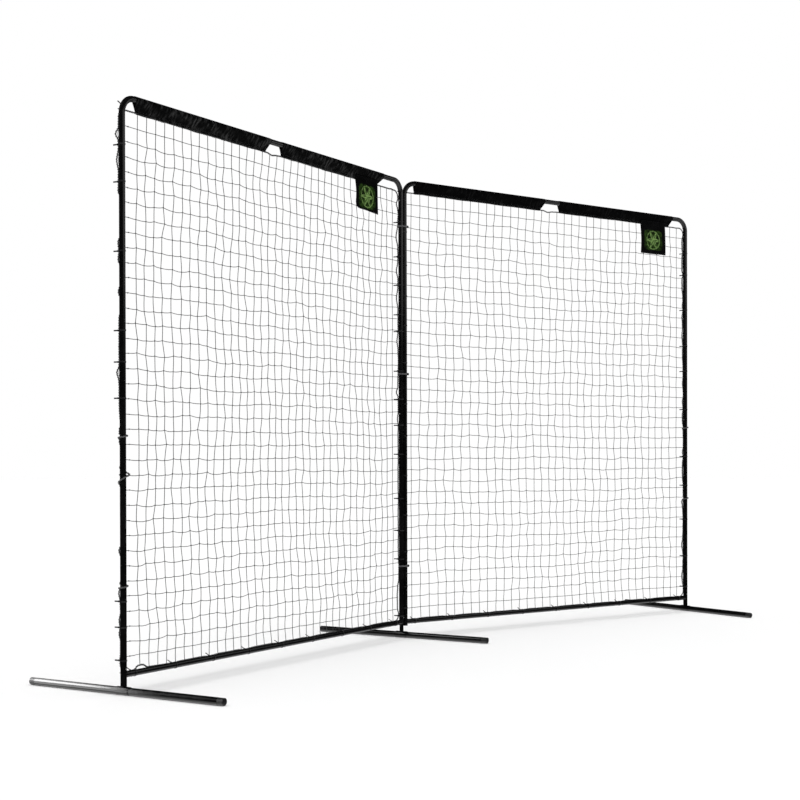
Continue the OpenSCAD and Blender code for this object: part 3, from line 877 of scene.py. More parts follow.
class BALLSCREEN_OT_stage(bpy.types.Operator):
    """Add the floor, the soft light and the camera"""

    bl_idname = "ballscreen.stage"
    bl_label = "Studio and Camera"

    def execute(self, context):
        studio = settings().studio
        square = ((-1, -1), (1, -1), (1, 1), (-1, 1))
        corners = [(a * FLOOR_REACH, b * FLOOR_REACH, FLOOR_HEIGHT) for a, b in square]
        paint = studio_floor("Studio Floor", studio.floor_colour)
        floor = mesh_object("studio_floor", corners, [(0, 1, 2, 3)], paint)
        floor.visible_glossy = False
        floor.visible_shadow = False
        context.scene.world = self.surround(studio)
        for name, values in SOFTBOXES.items():
            self.add_softbox(name, studio, *values)
        lamp = bpy.data.lights.new("overhead_light", "SUN")
        lamp.angle = math.radians(100)
        lamp.energy = math.pi * studio.overhead_strength
        linked_object("overhead_light", lamp).visible_glossy = False
        context.scene.view_settings.view_transform = "Standard"
        self.add_camera(context)
        return {"FINISHED"}

    def add_softbox(self, name, studio, place, aim, wide, tall, turned, power, only):
        """A soft rectangle of light that shows in the gloss alone, on one foot where it is given"""
        lamp = bpy.data.lights.new(name, "AREA")
        lamp.shape = "RECTANGLE"
        lamp.size, lamp.size_y = wide, tall
        lamp.energy = power * studio.softbox_strength * math.pi * wide * tall
        softbox = linked_object(name, lamp)
        ahead = (Vector(aim) - Vector(place)).to_track_quat("-Z", "Y").to_matrix()
        softbox.rotation_euler = (ahead @ Matrix.Rotation(math.radians(turned), 3, "Z")).to_euler()
        softbox.location = place
        softbox.visible_camera = False
        softbox.visible_diffuse = False
        if only:
            subject = bpy.data.collections.new(name + "_subject")
            for node in (only, only + "_caps"):
                subject.objects.link(frame["nodes"][node])
            softbox.light_linking.receiver_collection = subject

    def surround(self, studio):
        """White to the camera, an even sky for the cloth, and a dark room over a bright floor in the gloss"""
        world = bpy.data.worlds.new("White Surround")
        world.use_nodes = True
        world.cycles.sampling_method = "NONE"
        g = Graph(world.node_tree)
        background = next(n for n in world.node_tree.nodes if n.type == "BACKGROUND")
        ray = g.node("ShaderNodeLightPath")
        rise = g.split(g.node("ShaderNodeTexCoord")["Generated"])[2]
        below = g.ramp(rise, -0.25, -0.6, 0.015, 1.0)
        gloss = ray["Is Glossy Ray"] * (studio.sky_strength - below)
        seen = ray["Is Camera Ray"] * (studio.sky_strength - 1.0)
        g.fill(background, Color=(1.0, 1.0, 1.0, 1.0), Strength=studio.sky_strength - gloss - seen)
        return world

    def add_camera(self, context):
        """The camera, level apart from a slight tilt and roll"""
        yaw, pitch, roll = (math.radians(turn) for turn in (CAMERA_YAW, CAMERA_PITCH, CAMERA_ROLL))
        ahead = Vector((math.sin(yaw) * math.cos(pitch), math.cos(yaw) * math.cos(pitch), math.sin(pitch)))
        level = Vector((math.cos(yaw), -math.sin(yaw), 0.0))
        up = level.cross(ahead)
        across = level * math.cos(roll) + up * math.sin(roll)
        above = up * math.cos(roll) - level * math.sin(roll)
        data = bpy.data.cameras.new("product_camera")
        data.sensor_width = SENSOR_WIDTH
        data.lens = FOCAL_LENGTH / PICTURE_WIDTH * SENSOR_WIDTH
        data.shift_x = SHIFT_RIGHT / PICTURE_WIDTH
        data.shift_y = SHIFT_UP / PICTURE_WIDTH
        data.clip_end = 200.0
        camera = linked_object("product_camera", data)
        turned = zip(across, above, -ahead, CAMERA_PLACE)
        camera.matrix_world = Matrix((*turned, (0, 0, 0, 1)))
        context.scene.camera = camera


class BALLSCREEN_OT_frame_finish(bpy.types.Operator):
    """Give the tubes, feet, caps, ties and buttons their finishes"""

    bl_idname = "ballscreen.frame_finish"
    bl_label = "Frame Finishes"

    def execute(self, context):
        tube_paint = powder_coat("Frame Powder Coat", 0.17, 0.30, 0.03)
        finishes = (
            ("buttons", zinc_steel("Button Steel")),
            ("cap", black_plastic("Cap Plastic", 0.34, 900.0)),
            ("ties", black_plastic("Tie Nylon", 0.38, 1500.0, 0.0001)),
            ("_foot", powder_coat("Foot Powder Coat", 0.10, 0.5, 0.05)),
            ("post", tube_paint),
            ("rail", tube_paint),
            ("corner", tube_paint),
        )
        for name, node in frame["nodes"].items():
            for word, material in finishes:
                if word in name:
                    node.data.materials.clear()
                    node.data.materials.append(material)
                    break
        return {"FINISHED"}


# Where the left net has no upright twines and knots beside its outer post
BARE_LEFT = 0.09


class BALLSCREEN_OT_nets(bpy.types.Operator):
    """Knot the two nets"""

    bl_idname = "ballscreen.nets"
    bl_label = "Nets"

    def execute(self, context):
        s = settings()
        tree = net_tree()
        twine = corded("Net Twine", s.finish.twine, 0.0052, 0.0, 0.0004)
        for side, seed, bare in (("left", 3.0, BARE_LEFT), ("right", 8.0, 0.0)):
            values = {"Width": s.frame.panel_width, "Height": s.cord.high - s.cord.low, "Material": twine}
            values.update({"Bare Left": bare, "Seed": seed})
            for name in ("columns", "rows"):
                values[name.title()] = getattr(s.net, f"{side}_{name}")
            for name in ("twine_radius", "knot_radius", "wander", "jog", "sag", "belly"):
                values[name.replace("_", " ").title()] = getattr(s.net, name)
            net = run_tree(side + "_knotted_net", tree, values)
            self.pull_to_cord(net.data, side)
            net.data.transform(panel_matrix(side) @ Matrix.Translation((0, s.cord.back, s.cord.low)))
            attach(net, side + "_panel")
            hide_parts(side + "_net")
        return {"FINISHED"}

    def pull_to_cord(self, mesh, side):
        """Moves the net's margins with the border cord, less and less towards the middle"""
        s = settings()
        p = np.empty(len(mesh.vertices) * 3, np.float32)
        mesh.vertices.foreach_get("co", p)
        p = p.reshape(-1, 3).astype(float)
        x, z = p[:, 0].copy(), p[:, 2].copy()
        width, tall = s.frame.panel_width, s.cord.high - s.cord.low
        post_reach, edge_reach, fade = 0.12, 0.10, 1.5
        for post, gap, sign in (("left", x, 1), ("right", width - x, -1)):
            share = np.clip(1 - gap / post_reach, 0, 1) ** fade
            inward, behind = post_way(side, post, z + s.cord.low)
            p[:, 0] += share * inward * sign
            p[:, 1] += share * (behind - s.cord.back)
        for edge, gap in (("low", z), ("high", tall - z)):
            share = np.clip(1 - gap / edge_reach, 0, 1) ** fade
            up, behind = edge_way(side, edge, x)
            p[:, 2] += share * up
            p[:, 1] += share * (behind - s.cord.back)
        mesh.vertices.foreach_set("co", p.astype(np.float32).ravel())
        mesh.update()


# The cord's way up each post of each panel, in mm: height, shift towards the panel's middle, distance behind
# the post's axis. A tie holds it at 0 and 22.5. Between ties it bulges, or slips in behind the tube.
CORD_WAYS = {
    ("left", "left"): (
        (150, 0, 22.5), (170, 0, 22.5), (215, 2, 21), (265, 2, 21), (302, -2, 26), (335, 0, 22.5),
        (368, -2, 26), (410, 2, 21), (440, 2, 21), (465, 0, 22.5), (508, -3, 27), (530, 0, 22.5),
        (550, 0, 22.5), (590, 11, 18.5), (665, 11, 18.5), (718, -1, 26), (760, 11, 18.5), (1020, 11, 18.5),
        (1050, 0, 22.5), (1130, 0, 22.5), (1160, 11, 18.5), (1225, 11, 18.5), (1262, 0, 23),
        (1280, 0, 22.5), (1325, 0, 22.5), (1350, 10, 19), (1385, 3, 22), (1430, 0, 22.5), (1530, 0, 22.5),
        (1565, 0, 24.5), (1608, -5, 33), (1640, 0, 23.5), (1661, 0, 22.5), (1740, 0, 23), (1818, 0, 22.5),
        (1880, 0, 22.5), (1915, 6, 20), (1965, 11, 18.5), (2012, -1, 26), (2055, 10, 19), (2130, 10, 19),
        (2172, -1, 26.5), (2214, 0, 22.5), (2258, -1, 26.5), (2300, 11, 18.5), (2470, 11, 18.5),
        (2515, -1, 25), (2560, 0, 22.5), (2612, 0, 23.5), (2668, -3, 32), (2722, 0, 23.5), (2745, 0, 22.5),
        (2765, 0, 24), (2797, -8, 35), (2835, 0, 22.5),
    ),
    ("left", "right"): (
        (150, 0, 22.5), (190, 4, 29), (270, 5, 30), (330, 3, 27), (380, 0, 21), (470, 0, 20),
        (513, 0, 22.5), (605, 1, 24), (700, 0, 22.5), (780, 1, 24), (910, 0, 22.5), (1000, 1, 24),
        (1100, 1, 24), (1200, 0, 22.5), (1290, 1, 24), (1390, 0, 22.5), (1430, 2, 27), (1480, 0, 22.5),
        (1560, 0, 22.5), (1578, 0, 24), (1604, 6, 33), (1640, 1, 24), (1745, 0, 22.5), (1820, 0, 20),
        (1885, 0, 23), (1945, 3, 29), (1990, 0, 23.5), (2005, 0, 22.5), (2150, 0, 23), (2222, 4, 31),
        (2295, 0, 23.5), (2308, 0, 22.5), (2344, 0, 23), (2403, 4, 31), (2462, 0, 23.5), (2495, 0, 22.5),
        (2555, 0, 23.5), (2626, 5, 33), (2700, 0, 23.5), (2720, 0, 22.5), (2775, 2, 19), (2803, 0, 23),
        (2843, 4, 31), (2875, 0, 22.5),
    ),
    ("right", "left"): (
        (190, 0, 22.5), (260, 2, 24), (330, 0, 22.5), (440, 3, 23), (560, 0, 22.5), (680, 2, 25),
        (800, 0, 22.5), (930, 3, 24), (1060, 0, 22.5), (1190, 2, 25), (1320, 0, 22.5), (1530, 0, 22.5),
        (1660, 3, 24), (1800, 0, 22.5), (1920, 2, 25), (2045, 0, 22.5), (2150, 3, 24), (2240, 0, 22.5),
        (2440, 0, 22.5), (2550, 2, 25), (2660, 0, 22.5), (2760, 3, 24), (2875, 0, 22.5),
    ),
    ("right", "right"): (
        (150, 0, 22.5), (185, 0, 22.5), (215, 10, 22), (262, 17, 22), (330, 6, 21), (420, 0, 22.5),
        (450, 7, 22), (500, 17, 22), (555, 7, 22), (620, 4, 21), (700, 0, 22.5), (760, 5, 21), (795, 9, 22),
        (838, 17, 22), (850, 0, 22.5), (870, 0, 22.5), (960, 0, 22.5), (1020, 8, 22), (1080, 9, 22),
        (1130, 7, 22), (1180, 0, 22.5), (1210, 8, 22), (1260, 0, 20), (1390, 0, 22.5), (1410, 0, 22.5),
        (1440, 8, 22), (1500, 10, 22), (1540, 0, 22.5), (1600, 8, 22), (1640, 0, 20), (1700, 2, 20),
        (1735, 7, 22), (1780, 2, 21), (1832, 0, 22.5), (1870, 2, 21), (1940, 6, 22), (1990, 7, 22),
        (2025, 0, 22.5), (2045, 7, 22), (2105, 12, 22), (2155, 6, 22), (2190, 8, 21), (2245, 12, 22),
        (2285, 4, 22), (2300, 0, 22.5), (2330, 9, 22), (2370, 3, 21), (2410, 4, 21), (2470, 12, 22),
        (2535, 12, 22), (2568, 0, 22.5), (2600, 11, 22), (2660, 12, 22), (2715, 10, 22), (2733, 0, 22.5),
        (2755, 10, 22), (2830, 12, 22), (2875, 0, 22.5),
    ),
}
# Turns of the cord round an outer post: height, rise of the turn, slack on the side of the panel
TURNS = {
    "left": ((0.540, 0.020, 0.0), (1.090, 0.080, 0.011), (1.290, 0.020, 0.0)),
    "right": ((0.860, 0.020, 0.0), (1.400, 0.020, 0.0)),
}
# Ties of the bottom rail, as distances from the left post, and the cord's radius at a net's corners
RAIL_TIES = [0.0782 + 0.3129 * k for k in range(9)]
CORD_CORNER = 0.045


def post_way(side, post, heights):
    """Shift towards the panel's middle and distance behind the axis, in metres, of the cord along a post"""
    way = np.array(CORD_WAYS[side, post], float) / 1000
    rng = np.random.default_rng(len(way) + (3 if post == "left" else 4))
    heights = np.asarray(heights, float)
    slack = np.interp(heights, np.linspace(0, 3, 160), rng.normal(0, 0.0007, 160))
    return eased(heights, way[:, 0], way[:, 1]) + slack, eased(heights, way[:, 0], way[:, 2])


def edge_way(side, edge, x):
    """Rise and distance behind the panel, in metres, of the cord along the bottom rail or the top rail"""
    x = np.asarray(x, float)
    back = settings().cord.back
    rng = np.random.default_rng((31 if side == "left" else 37) + len(edge))
    if edge == "high":
        wave = np.interp(x, np.linspace(0, 2.7, 90), rng.normal(0, 0.0012, 90))
        return wave - 0.010 * np.exp(-(((x - 1.28) / 0.035) ** 2)), np.full(len(x), back)
    places, rise, behind = [0.0], [0.0], [back]
    for k, tie in enumerate(RAIL_TIES):
        places += [tie - 0.012, tie + 0.012]
        rise += [0.0, 0.0]
        behind += [back, back]
        if k == 0 and side == "left":
            places += [0.096, 0.124, 0.158, 0.200]
            rise += [0.002, 0.021, 0.022, 0.004]
            behind += [0.018, 0.017, 0.017, 0.018]
            continue
        if k < len(RAIL_TIES) - 1:
            span = RAIL_TIES[k + 1] - tie
            for share in (0.25, 0.5, 0.75):
                places.append(tie + span * share)
                rise.append(rng.uniform(0.0035, 0.0055))
                behind.append(rng.uniform(0.0172, 0.0182))
    places.append(settings().frame.panel_width)
    rise.append(0.0)
    behind.append(back)
    return eased(x, np.array(places), np.array(rise)), eased(x, np.array(places), np.array(behind))


class BALLSCREEN_OT_border_cords(bpy.types.Operator):
    """Run a cord round each net, with turns round the outer post, and whip the net to it"""

    bl_idname = "ballscreen.border_cords"
    bl_label = "Border Cords"

    def run_up(self, side, post, low, high):
        """Cord points up one post, with its full turns round an outer one"""
        s = settings()
        clearance, spacing = 0.0022, 0.009
        steps, hold, slack_at, slack_spread = 32, 0.12, 211.5, 45
        back, wound = s.cord.back, s.frame.tube_radius + s.cord.radius + clearance
        post_x, sign = (0.0, 1) if post == "left" else (s.frame.panel_width, -1)
        points, z = [], low
        for stop, rise, slack in [*(TURNS[side] if post == side else ()), (None, 0, 0)]:
            top = high if stop is None else stop - rise / 2
            heights = np.linspace(z, top, max(2, int((top - z) / spacing)), endpoint=False)
            inward, behind = post_way(side, post, heights)
            points += [(post_x + sign * a, b, h) for a, b, h in zip(inward, behind, heights)]
            if stop is None:
                return points
            for t in np.arange(steps) / steps:
                pull = smooth_step(min(1.0, t / hold, (1 - t) / hold))
                loose = slack * math.exp(-(((360 * t - slack_at) / slack_spread) ** 2))
                r = back + (wound + loose - back) * pull
                a = math.pi / 2 + math.radians(360 * t)
                points.append((post_x + r * math.cos(a), r * math.sin(a), stop + rise * (t - 0.5)))
            z = stop + rise / 2

    def run_along(self, side, edge, start, end, height):
        """Cord points along a level edge"""
        spacing = 0.012
        x = np.linspace(start, end, int(abs(end - start) / spacing), endpoint=False)
        rise, behind = edge_way(side, edge, x)
        return [(a, c, height + b) for a, b, c in zip(x, rise, behind)]

    def arc(self, x, z, first):
        """Cord points round a corner of the net, from the given angle"""
        back = settings().cord.back
        turn = np.radians(np.linspace(first, first + 90, 9))[:-1]
        return [(x + CORD_CORNER * math.cos(a), back, z + CORD_CORNER * math.sin(a)) for a in turn]

    def loose_end(self, radius):
        """The knot at the upper left corner and the short end of cord that stands out of it"""
        t = np.linspace(0, 1, 14)[:, None]
        knot = np.array((0.034, 0.0225, 2.920))
        bend = np.array((0.030, 0.0205, 2.950))
        tip = np.array((0.017, 0.044, 2.969))
        along = (0, 0.06, 0.16, 0.26, 0.34, 0.86, 0.94, 1.0)
        swell = np.interp(t[:, 0], along, (0.3, 1.6, 1.8, 1.5, 1.0, 1.0, 1.15, 0.7))
        return tube((1 - t) ** 2 * knot + 2 * t * (1 - t) * bend + t**2 * tip, radius * swell, 10)

    def selvedge(self, side, low, high):
        """Edge twines of the net that lie bunched between the cord and the outer post"""
        s = settings()
        post_x, sign, shares, seed = 0.0, 1, (0.45,), 61
        if side == "right":
            post_x, sign, shares, seed = s.frame.panel_width, -1, (0.3, 0.7), 67
        gap, spacing, looseness = 0.0002, 0.011, 0.0009
        radius = s.cord.whipping_radius * 1.1
        nearest = s.frame.tube_radius + radius + gap
        heights = np.arange(low, high, spacing)
        inward, behind = post_way(side, side, heights)
        rng = np.random.default_rng(seed)
        parts = []
        for share in shares:
            across = inward * share + smooth_noise(len(heights), 6, rng, looseness)
            away = nearest + np.clip(behind - s.cord.back, 0, None) * share
            reach = np.maximum(1.0, nearest / np.hypot(across, away))
            strand = np.stack([post_x + sign * across * reach, away * reach, heights], 1)
            parts.append(tube(strand, radius, 5))
        return parts

    def execute(self, context):
        s = settings()
        cord = corded("Border Cord", s.finish.cord, 0.0064, 0.8, 0.0007)
        twine = corded("Binding Twine", s.finish.twine, 0.0040, 0.0, 0.0003)
        left, right = CORD_CORNER, s.frame.panel_width - CORD_CORNER
        low, high = s.cord.low + CORD_CORNER, s.cord.high - CORD_CORNER
        for side in SIDES:
            path = self.run_along(side, "low", left, right, s.cord.low) + self.arc(right, low, -90)
            path += self.run_up(side, "right", low, high) + self.arc(right, high, 0)
            path += self.run_along(side, "high", right, left, s.cord.high) + self.arc(left, high, 90)
            path += self.run_up(side, "left", low, high)[::-1] + self.arc(left, low, 180)
            path = np.array(path)
            ends = [self.loose_end(s.cord.radius)] if side == "left" else []
            points, faces, uv = joined(tube(path, s.cord.radius, 10, closed=True), *ends)
            rope = mesh_object(side + "_border_cord", points, faces, cord, uv, panel_matrix(side))
            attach(rope, side + "_panel")
            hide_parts(side + "_border_rope")
            thin = s.cord.whipping_radius
            spiral = winding(path, s.cord.radius + thin * 0.7, s.cord.whipping_pitch)
            points, faces, uv = joined(tube(spiral, thin, 5, closed=True), *self.selvedge(side, low, high))
            whipping = mesh_object(side + "_net_whipping", points, faces, twine, uv, panel_matrix(side))
            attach(whipping, side + "_panel")
        return {"FINISHED"}


# Sleeves, in a panel's own frame: which rail half, start, end, and how far the lower corners are cut back
SLEEVES = {
    "left": (("outer", 0.092, 1.225, 0.038, 0.012), ("inner", 1.340, 2.440, 0.033, 0.048)),
    "right": (("inner", 0.082, 1.224, 0.014, 0.024), ("outer", 1.361, 2.511, 0.028, 0.016)),
}
# Flaps: which sleeve, start, end, heights of the lower corners, radius of the first one, slack of the sides
FLAPS = {
    "left": ("inner", 2.137, 2.398, 2.743, 2.731, 0.044, 0.006),
    "right": ("outer", 2.194, 2.455, 2.702, 2.702, 0.006, 0.0015),
}
# Gloss of a flap, and how much paler the painted sheen makes its creases
FLAP_SHINE, FLAP_CREASE_SHEEN = 0.03, 0.008
# How far a sleeve hangs below the rail's axis, and its swing towards the cord that lies in its fold
SLEEVE_DROP = 0.0641
SLEEVE_SWING = math.atan2(0.0225, 0.060)


def sleeve_section():
    """Closed outline of a sleeve, as points along and across its drop, and the distance run from the fold"""
    tube_r, fold_r, pinch, seam = 0.0177, 0.0041, 0.0018, 0.051
    lean, wrap = math.radians(13), 103
    fold = np.radians([0, 30, 60, 90, 120, 145])
    front = [(SLEEVE_DROP + fold_r * math.cos(a), fold_r * math.sin(a)) for a in fold]
    front += [(seam + 0.004, pinch + 0.0003), (seam, pinch)]
    start = (tube_r * math.sin(lean), tube_r * math.cos(lean))
    for t in np.linspace(0, 1, 11)[1:]:
        front.append((seam + (start[0] - seam) * t, pinch + (start[1] - pinch) * (t**1.12)))
    over = np.radians(np.linspace(-wrap, wrap, 27))[1:-1]
    crown = [(-tube_r * math.cos(p), -tube_r * math.sin(p)) for p in over]
    back = [(a, -t) for a, t in front[1:]][::-1]
    outline = np.array(front + crown + back)
    return outline, distance_run(outline, closed=True)


def sleeve_point(x, along, across):
    """A point of a sleeve in the panel's own frame"""
    c, n = math.cos(SLEEVE_SWING), math.sin(SLEEVE_SWING)
    top = settings().frame.top_height
    return (x, along * n - across * c, top - along * c - across * n)


class BALLSCREEN_OT_sleeves(bpy.types.Operator):
    """Wrap the cloth sleeves round the top rails"""

    bl_idname = "ballscreen.sleeves"
    bl_label = "Sleeves"

    def execute(self, context):
        # Gloss, painted sheen on the creases, and seed of each side's sleeves
        for side, shine, crease_sheen, seed in (("left", 0.03, 0.060, 5), ("right", 0.015, 0.008, 17)):
            cloth = plain_cloth(f"{side.title()} Sleeve Cloth", shine, crease_sheen)
            for which, start, end, cut_a, cut_b in SLEEVES[side]:
                rng = np.random.default_rng(seed + len(which))
                self.sew(side, which, start, end, cut_a, cut_b, cloth, rng)
        return {"FINISHED"}

    def sew(self, side, which, start, end, cut_a, cut_b, cloth, rng):
        """One sleeve with its slanting ends, folds and wavy lower edge"""
        outline, run = sleeve_section()
        count = len(outline)
        column_width, fold_spacing, fold_height, deepest, waviness = 0.009, 0.028, 0.0011, 0.0022, 0.0011
        columns = int((end - start) / column_width)
        u = np.linspace(0, 1, columns)
        along, across = outline[:, 0], outline[:, 1]
        drop = np.clip(along / (SLEEVE_DROP + 0.004), 0, 1)
        fade, seam = 0.012, 0.052
        flank = np.clip(along / fade, 0, 1) * np.clip((seam - along) / fade, 0, 1)
        cut = drop**1.8
        x = (start + cut_a * cut)[None, :] * (1 - u)[:, None] + (end - cut_b * cut)[None, :] * u[:, None]
        push = np.zeros_like(x)
        front = across > 0
        for face in (front, ~front):
            for _ in range(int((end - start) / fold_spacing)):
                centre = rng.uniform(start - 0.05, end + 0.05)
                slope, spread = rng.normal(0, 0.7), rng.uniform(0.005, 0.02)
                height = rng.normal(0, fold_height)
                ridge = np.exp(-(((x - centre - slope * along[None, :]) / spread) ** 2)) * height
                push += ridge * face[None, :]
        push = np.clip(push, -deepest, deepest) * flank[None, :]
        ripple = smooth_noise(columns, 9, rng, waviness)[:, None] * (drop**2)[None, :]
        a = along[None, :] + ripple
        t = across[None, :] + push * np.sign(across)[None, :]
        points = [sleeve_point(x[r, k], a[r, k], t[r, k]) for r in range(columns) for k in range(count)]
        faces = grid_faces(columns, count, wrap_columns=True)
        uv = [(x[r, first] - start, run[k]) for r, k, first in wrapped_corners(columns - 1, count)]
        sleeve = mesh_object(f"{side}_{which}_sleeve", points, faces, cloth, uv, panel_matrix(side))
        face_outwards(sleeve)
        thicken(sleeve, 0.0012, -1.0)
        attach(sleeve, side + "_panel")
        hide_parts(f"{side}_sleeve_{which}")


def face_outwards(obj):
    """Turns a shell's faces so that they point away from its middle line"""
    shape = bmesh.new()
    shape.from_mesh(obj.data)
    bmesh.ops.recalc_face_normals(shape, faces=shape.faces)
    shape.to_mesh(obj.data)
    shape.free()
    obj.data.update()


def thicken(cloth, thickness, offset):
    """Gives a sheet of cloth its thickness: offset -1 puts it inside the sheet, and 0 to either side"""
    wall = cloth.modifiers.new("Cloth", "SOLIDIFY")
    wall.thickness = thickness
    wall.offset = offset
    return wall


def flap_shape(side):
    """The height of a flap's upper edge, and a function that gives a place on it in the panel's own frame"""
    _, x0, x1, low_a, low_b, round_r, slack = FLAPS[side]
    sewn_to = ((0.034, 0.0105), (0.043, 0.0062), (0.050, 0.0036), (0.058, 0.0056))
    seam = [sleeve_point(0, along, across) for along, across in sewn_to]
    seam_y = [y - 0.0008 for _, y, _ in seam]
    depths = [-z for _, _, z in seam]
    top, free = -depths[0], -depths[-1]
    phase = np.random.default_rng(41 if side == "left" else 43).uniform(0, 6.28, 6)

    def place(u, v):
        """u runs from the left to the right side, v from the seam down"""
        low = low_a + (low_b - low_a) * u
        z = top + (low - top) * v
        left = x0
        above = z - low
        if above < round_r:
            left = x0 + round_r - math.sqrt(max(0.0, round_r**2 - (round_r - above) ** 2))
        waist = slack * math.sin(math.pi * min(1.0, max(0.0, (v - 0.15) / 0.85)))
        x = (left + waist) * (1 - u) + (x1 - waist) * u
        if z > free:
            return x, float(np.interp(-z, depths, seam_y)), z
        t = (free - z) / (free - low)
        y = seam_y[-1] - 0.0045 * math.sin(math.pi * min(1.0, t * 0.9)) - 0.004 * t
        y += 0.0022 * t * math.sin(5.1 * u + 2.2 * t + phase[0])
        y += 0.0012 * t * math.sin(11.0 * u - 4.0 * t + phase[1])
        return x, y, z

    return top, place


class BALLSCREEN_OT_label_flaps(bpy.types.Operator):
    """Hang the flaps from the sleeves, with a print on the front of each"""

    bl_idname = "ballscreen.label_flaps"
    bl_label = "Flaps"

    def execute(self, context):
        plain = plain_cloth("Flap Cloth", FLAP_SHINE, FLAP_CREASE_SHEEN)
        rows, columns, print_reach = 46, 54, 0.079
        for side in SIDES:
            which, x0, x1, low_a, low_b, _, _ = FLAPS[side]
            top, place = flap_shape(side)
            points = [place(c / (columns - 1), r / (rows - 1)) for r in range(rows) for c in range(columns)]
            faces = grid_faces(rows, columns)
            uv = [(points[k][0] - x0, top - points[k][2]) for f in faces for k in f]
            tall = top - (low_a + low_b) / 2
            middle = ((x1 - x0) / 2, tall * 0.58)
            flap = mesh_object(side + "_flap", points, faces, plain, uv, panel_matrix(side))
            flap.data.materials.append(flap_cloth(f"{side.title()} Flap Print", middle, print_reach))
            thicken(flap, 0.0014, 0.0).material_offset = 1
            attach(flap, side + "_panel")
            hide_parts(side + "_label_flap")
        return {"FINISHED"}


# Straps: height of each band's middle line
STRAPS = {"lower": 0.467, "middle": 1.726, "upper": 2.692}


class BALLSCREEN_OT_straps(bpy.types.Operator):
    """Wind the webbing straps round the two inner posts"""

    bl_idname = "ballscreen.straps"
    bl_label = "Coupling Straps"

    def execute(self, context):
        s = settings()
        band = webbing("Strap Webbing", s.finish.webbing)
        moulded = black_plastic("Buckle Plastic", 0.32, 1800.0, 0.0001)
        middle = hinge_place()
        slack, lap_rise, tip_rise, behind, beyond = 0.0013, 0.0018, 0.0006, 0.004, 0.020
        half = s.frame.post_spacing / 2
        r = s.frame.tube_radius + slack
        path = []
        for post_x, first in ((half, -90), (-half, 90)):
            turn = np.radians(np.linspace(first, first + 180, 19))
            path += [(post_x + r * math.cos(a), r * math.sin(a)) for a in turn]
        lap = [(x, -r - lap_rise) for x in np.linspace(-half + behind, half + beyond, 9)]
        lap[-1] = (lap[-1][0], lap[-1][1] - tip_rise)
        path = np.array(path + lap)
        buckle_x, buckle_y = half + 0.011, -r - 0.0020
        for name, height in STRAPS.items():
            ring = self.make_strap(name, path, height, band, middle)
            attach(ring, "left_panel")
            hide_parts("strap_" + name)
            buckle = self.make_buckle(name, middle + Vector((buckle_x, buckle_y, height)), moulded)
            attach(buckle, "left_panel")
        return {"FINISHED"}

    def make_buckle(self, name, centre, material):
        """Rectangular slide with a middle bar that the free end is threaded through"""
        wide, tall, rod, turn = 0.0104, 0.0134, 0.0018, 0.0022
        loop = []
        for side_x, side_z, first in ((1, 1, 0), (-1, 1, 90), (-1, -1, 180), (1, -1, 270)):
            for a in np.radians(np.linspace(first, first + 90, 5)):
                x = side_x * (wide / 2 - turn) + turn * math.cos(a)
                z = side_z * (tall / 2 - turn) + turn * math.sin(a)
                loop.append((centre.x + x, centre.y, centre.z + z))
        bar = [(centre.x, centre.y, centre.z + z) for z in np.linspace(-tall / 2, tall / 2, 5)]
        points, faces, uv = joined(tube(loop, rod, 8, closed=True), tube(bar, rod * 0.8, 8))
        return mesh_object(name + "_strap_buckle", points, faces, material, uv)

    def make_strap(self, name, path, height, band, middle):
        """A band of webbing with rounded edges along a level path"""
        wide, thick = 0.010, 0.0015
        tangent = np.gradient(path, axis=0)
        tangent /= np.linalg.norm(tangent, axis=1)[:, None]
        outward = np.stack([tangent[:, 1], -tangent[:, 0]], 1)
        edge = np.array([(-0.5, 0.0), (-0.47, 0.5), (0.47, 0.5), (0.5, 0.0), (0.47, -0.5), (-0.47, -0.5)])
        section = []
        for a, b in zip(edge, np.roll(edge, -1, 0)):
            for t in np.linspace(0, 1, 6 if abs(a[1] - b[1]) < 0.1 else 2, endpoint=False):
                section.append(a + (b - a) * t)
        run, around = distance_run(path), distance_run(np.array(section) * (wide, thick), closed=True)
        points = []
        for i, p in enumerate(path):
            for z, o in section:
                q = p + outward[i] * o * thick
                points.append((middle.x + q[0], middle.y + q[1], height + z * wide))
        rows, n = len(path), len(section)
        faces = grid_faces(rows, n, wrap_columns=True) + end_faces(rows, n)
        uv = [(run[r], around[k]) for r, k, _ in wrapped_corners(rows - 1, n)]
        uv += [(0.0, around[k]) for k in range(n - 1, -1, -1)] + [(run[-1], around[k]) for k in range(n)]
        strap = mesh_object(name + "_strap_webbing", points, faces, band, uv)
        face_outwards(strap)
        return strap


# Stitches: how far they stand out on a sleeve and on a flap, and how far down a sleeve its two rows run
SEAM_PROUD, HEM_PROUD = 0.0021, 0.0008
SEAM_ROWS = (0.0495, 0.0535)


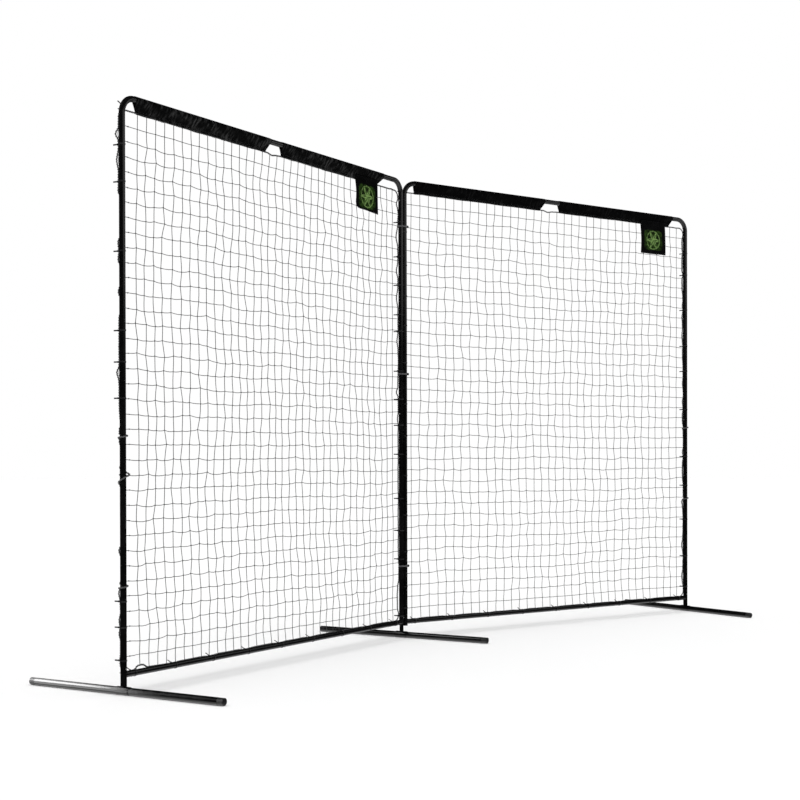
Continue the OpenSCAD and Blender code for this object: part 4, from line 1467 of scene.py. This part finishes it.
class BALLSCREEN_OT_stitching(bpy.types.Operator):
    """Sew the seams of the sleeves and flaps"""

    bl_idname = "ballscreen.stitching"
    bl_label = "Stitching"

    def execute(self, context):
        tree = stitch_tree()
        values = {"Pitch": 0.0055, "Length": 0.0040, "Thickness": 0.0008}
        values["Material"] = thread("Seam Thread", (0.055, 0.055, 0.058))
        for side in SIDES:
            lines = []
            for _, start, end, cut_a, cut_b in SLEEVES[side]:
                at = np.arange(start + cut_a, end - cut_b, 0.05)
                for across in (SEAM_PROUD, -SEAM_PROUD):
                    lines += [[sleeve_point(x, along, across) for x in at] for along in SEAM_ROWS]
            _, place = flap_shape(side)
            inset, foot = 0.022, 0.972
            down, along = np.linspace(0.05, foot, 26), np.linspace(inset, 1 - inset, 34)
            hem = [(inset, v) for v in down] + [(u, foot) for u in along[1:-1]]
            hem += [(1 - inset, v) for v in down[::-1]]
            for proud in (-HEM_PROUD, HEM_PROUD):
                lines.append([(x, y + proud, z) for x, y, z in (place(u, v) for u, v in hem)])
            points, edges = [], []
            for line in lines:
                edges += [(k, k + 1) for k in range(len(points), len(points) + len(line) - 1)]
                points += line
            seams = run_tree(side + "_seam_stitches", tree, values, points, edges, panel_matrix(side))
            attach(seams, side + "_panel")
        return {"FINISHED"}


class BALLSCREEN_PT_panel(bpy.types.Panel):
    """Lists the pieces in the 3D view's sidebar"""

    bl_label = "Net Screen"
    bl_idname = "BALLSCREEN_PT_panel"
    bl_space_type = "VIEW_3D"
    bl_region_type = "UI"
    bl_category = "Net Screen"

    def draw(self, context):
        for operator in OPERATORS:
            self.layout.operator(operator.bl_idname)
        s = context.scene.ball_screen
        for group in (s.frame, s.net, s.cord, s.finish, s.studio):
            box = self.layout.box()
            for name in group.__annotations__:
                box.prop(group, name)


GROUPS = (FrameSizes, NetSizes, CordSizes, Finishes, StudioSettings, BallScreenSettings)
OPERATORS = (
    BALLSCREEN_OT_stage,
    BALLSCREEN_OT_frame_finish,
    BALLSCREEN_OT_nets,
    BALLSCREEN_OT_border_cords,
    BALLSCREEN_OT_sleeves,
    BALLSCREEN_OT_label_flaps,
    BALLSCREEN_OT_straps,
    BALLSCREEN_OT_stitching,
)


def register():
    """Adds the settings, the operators and the panel to Blender"""
    for item in (*GROUPS, *OPERATORS, BALLSCREEN_PT_panel):
        bpy.utils.register_class(item)
    bpy.types.Scene.ball_screen = PointerProperty(type=BallScreenSettings)


def unregister():
    """Takes them out again"""
    del bpy.types.Scene.ball_screen
    for item in reversed((*GROUPS, *OPERATORS, BALLSCREEN_PT_panel)):
        bpy.utils.unregister_class(item)


def main():
    """Makes every piece in order"""
    register()
    for operator in OPERATORS:
        module, name = operator.bl_idname.split(".")
        getattr(getattr(bpy.ops, module), name)()


if __name__ == "__main__":
    main()
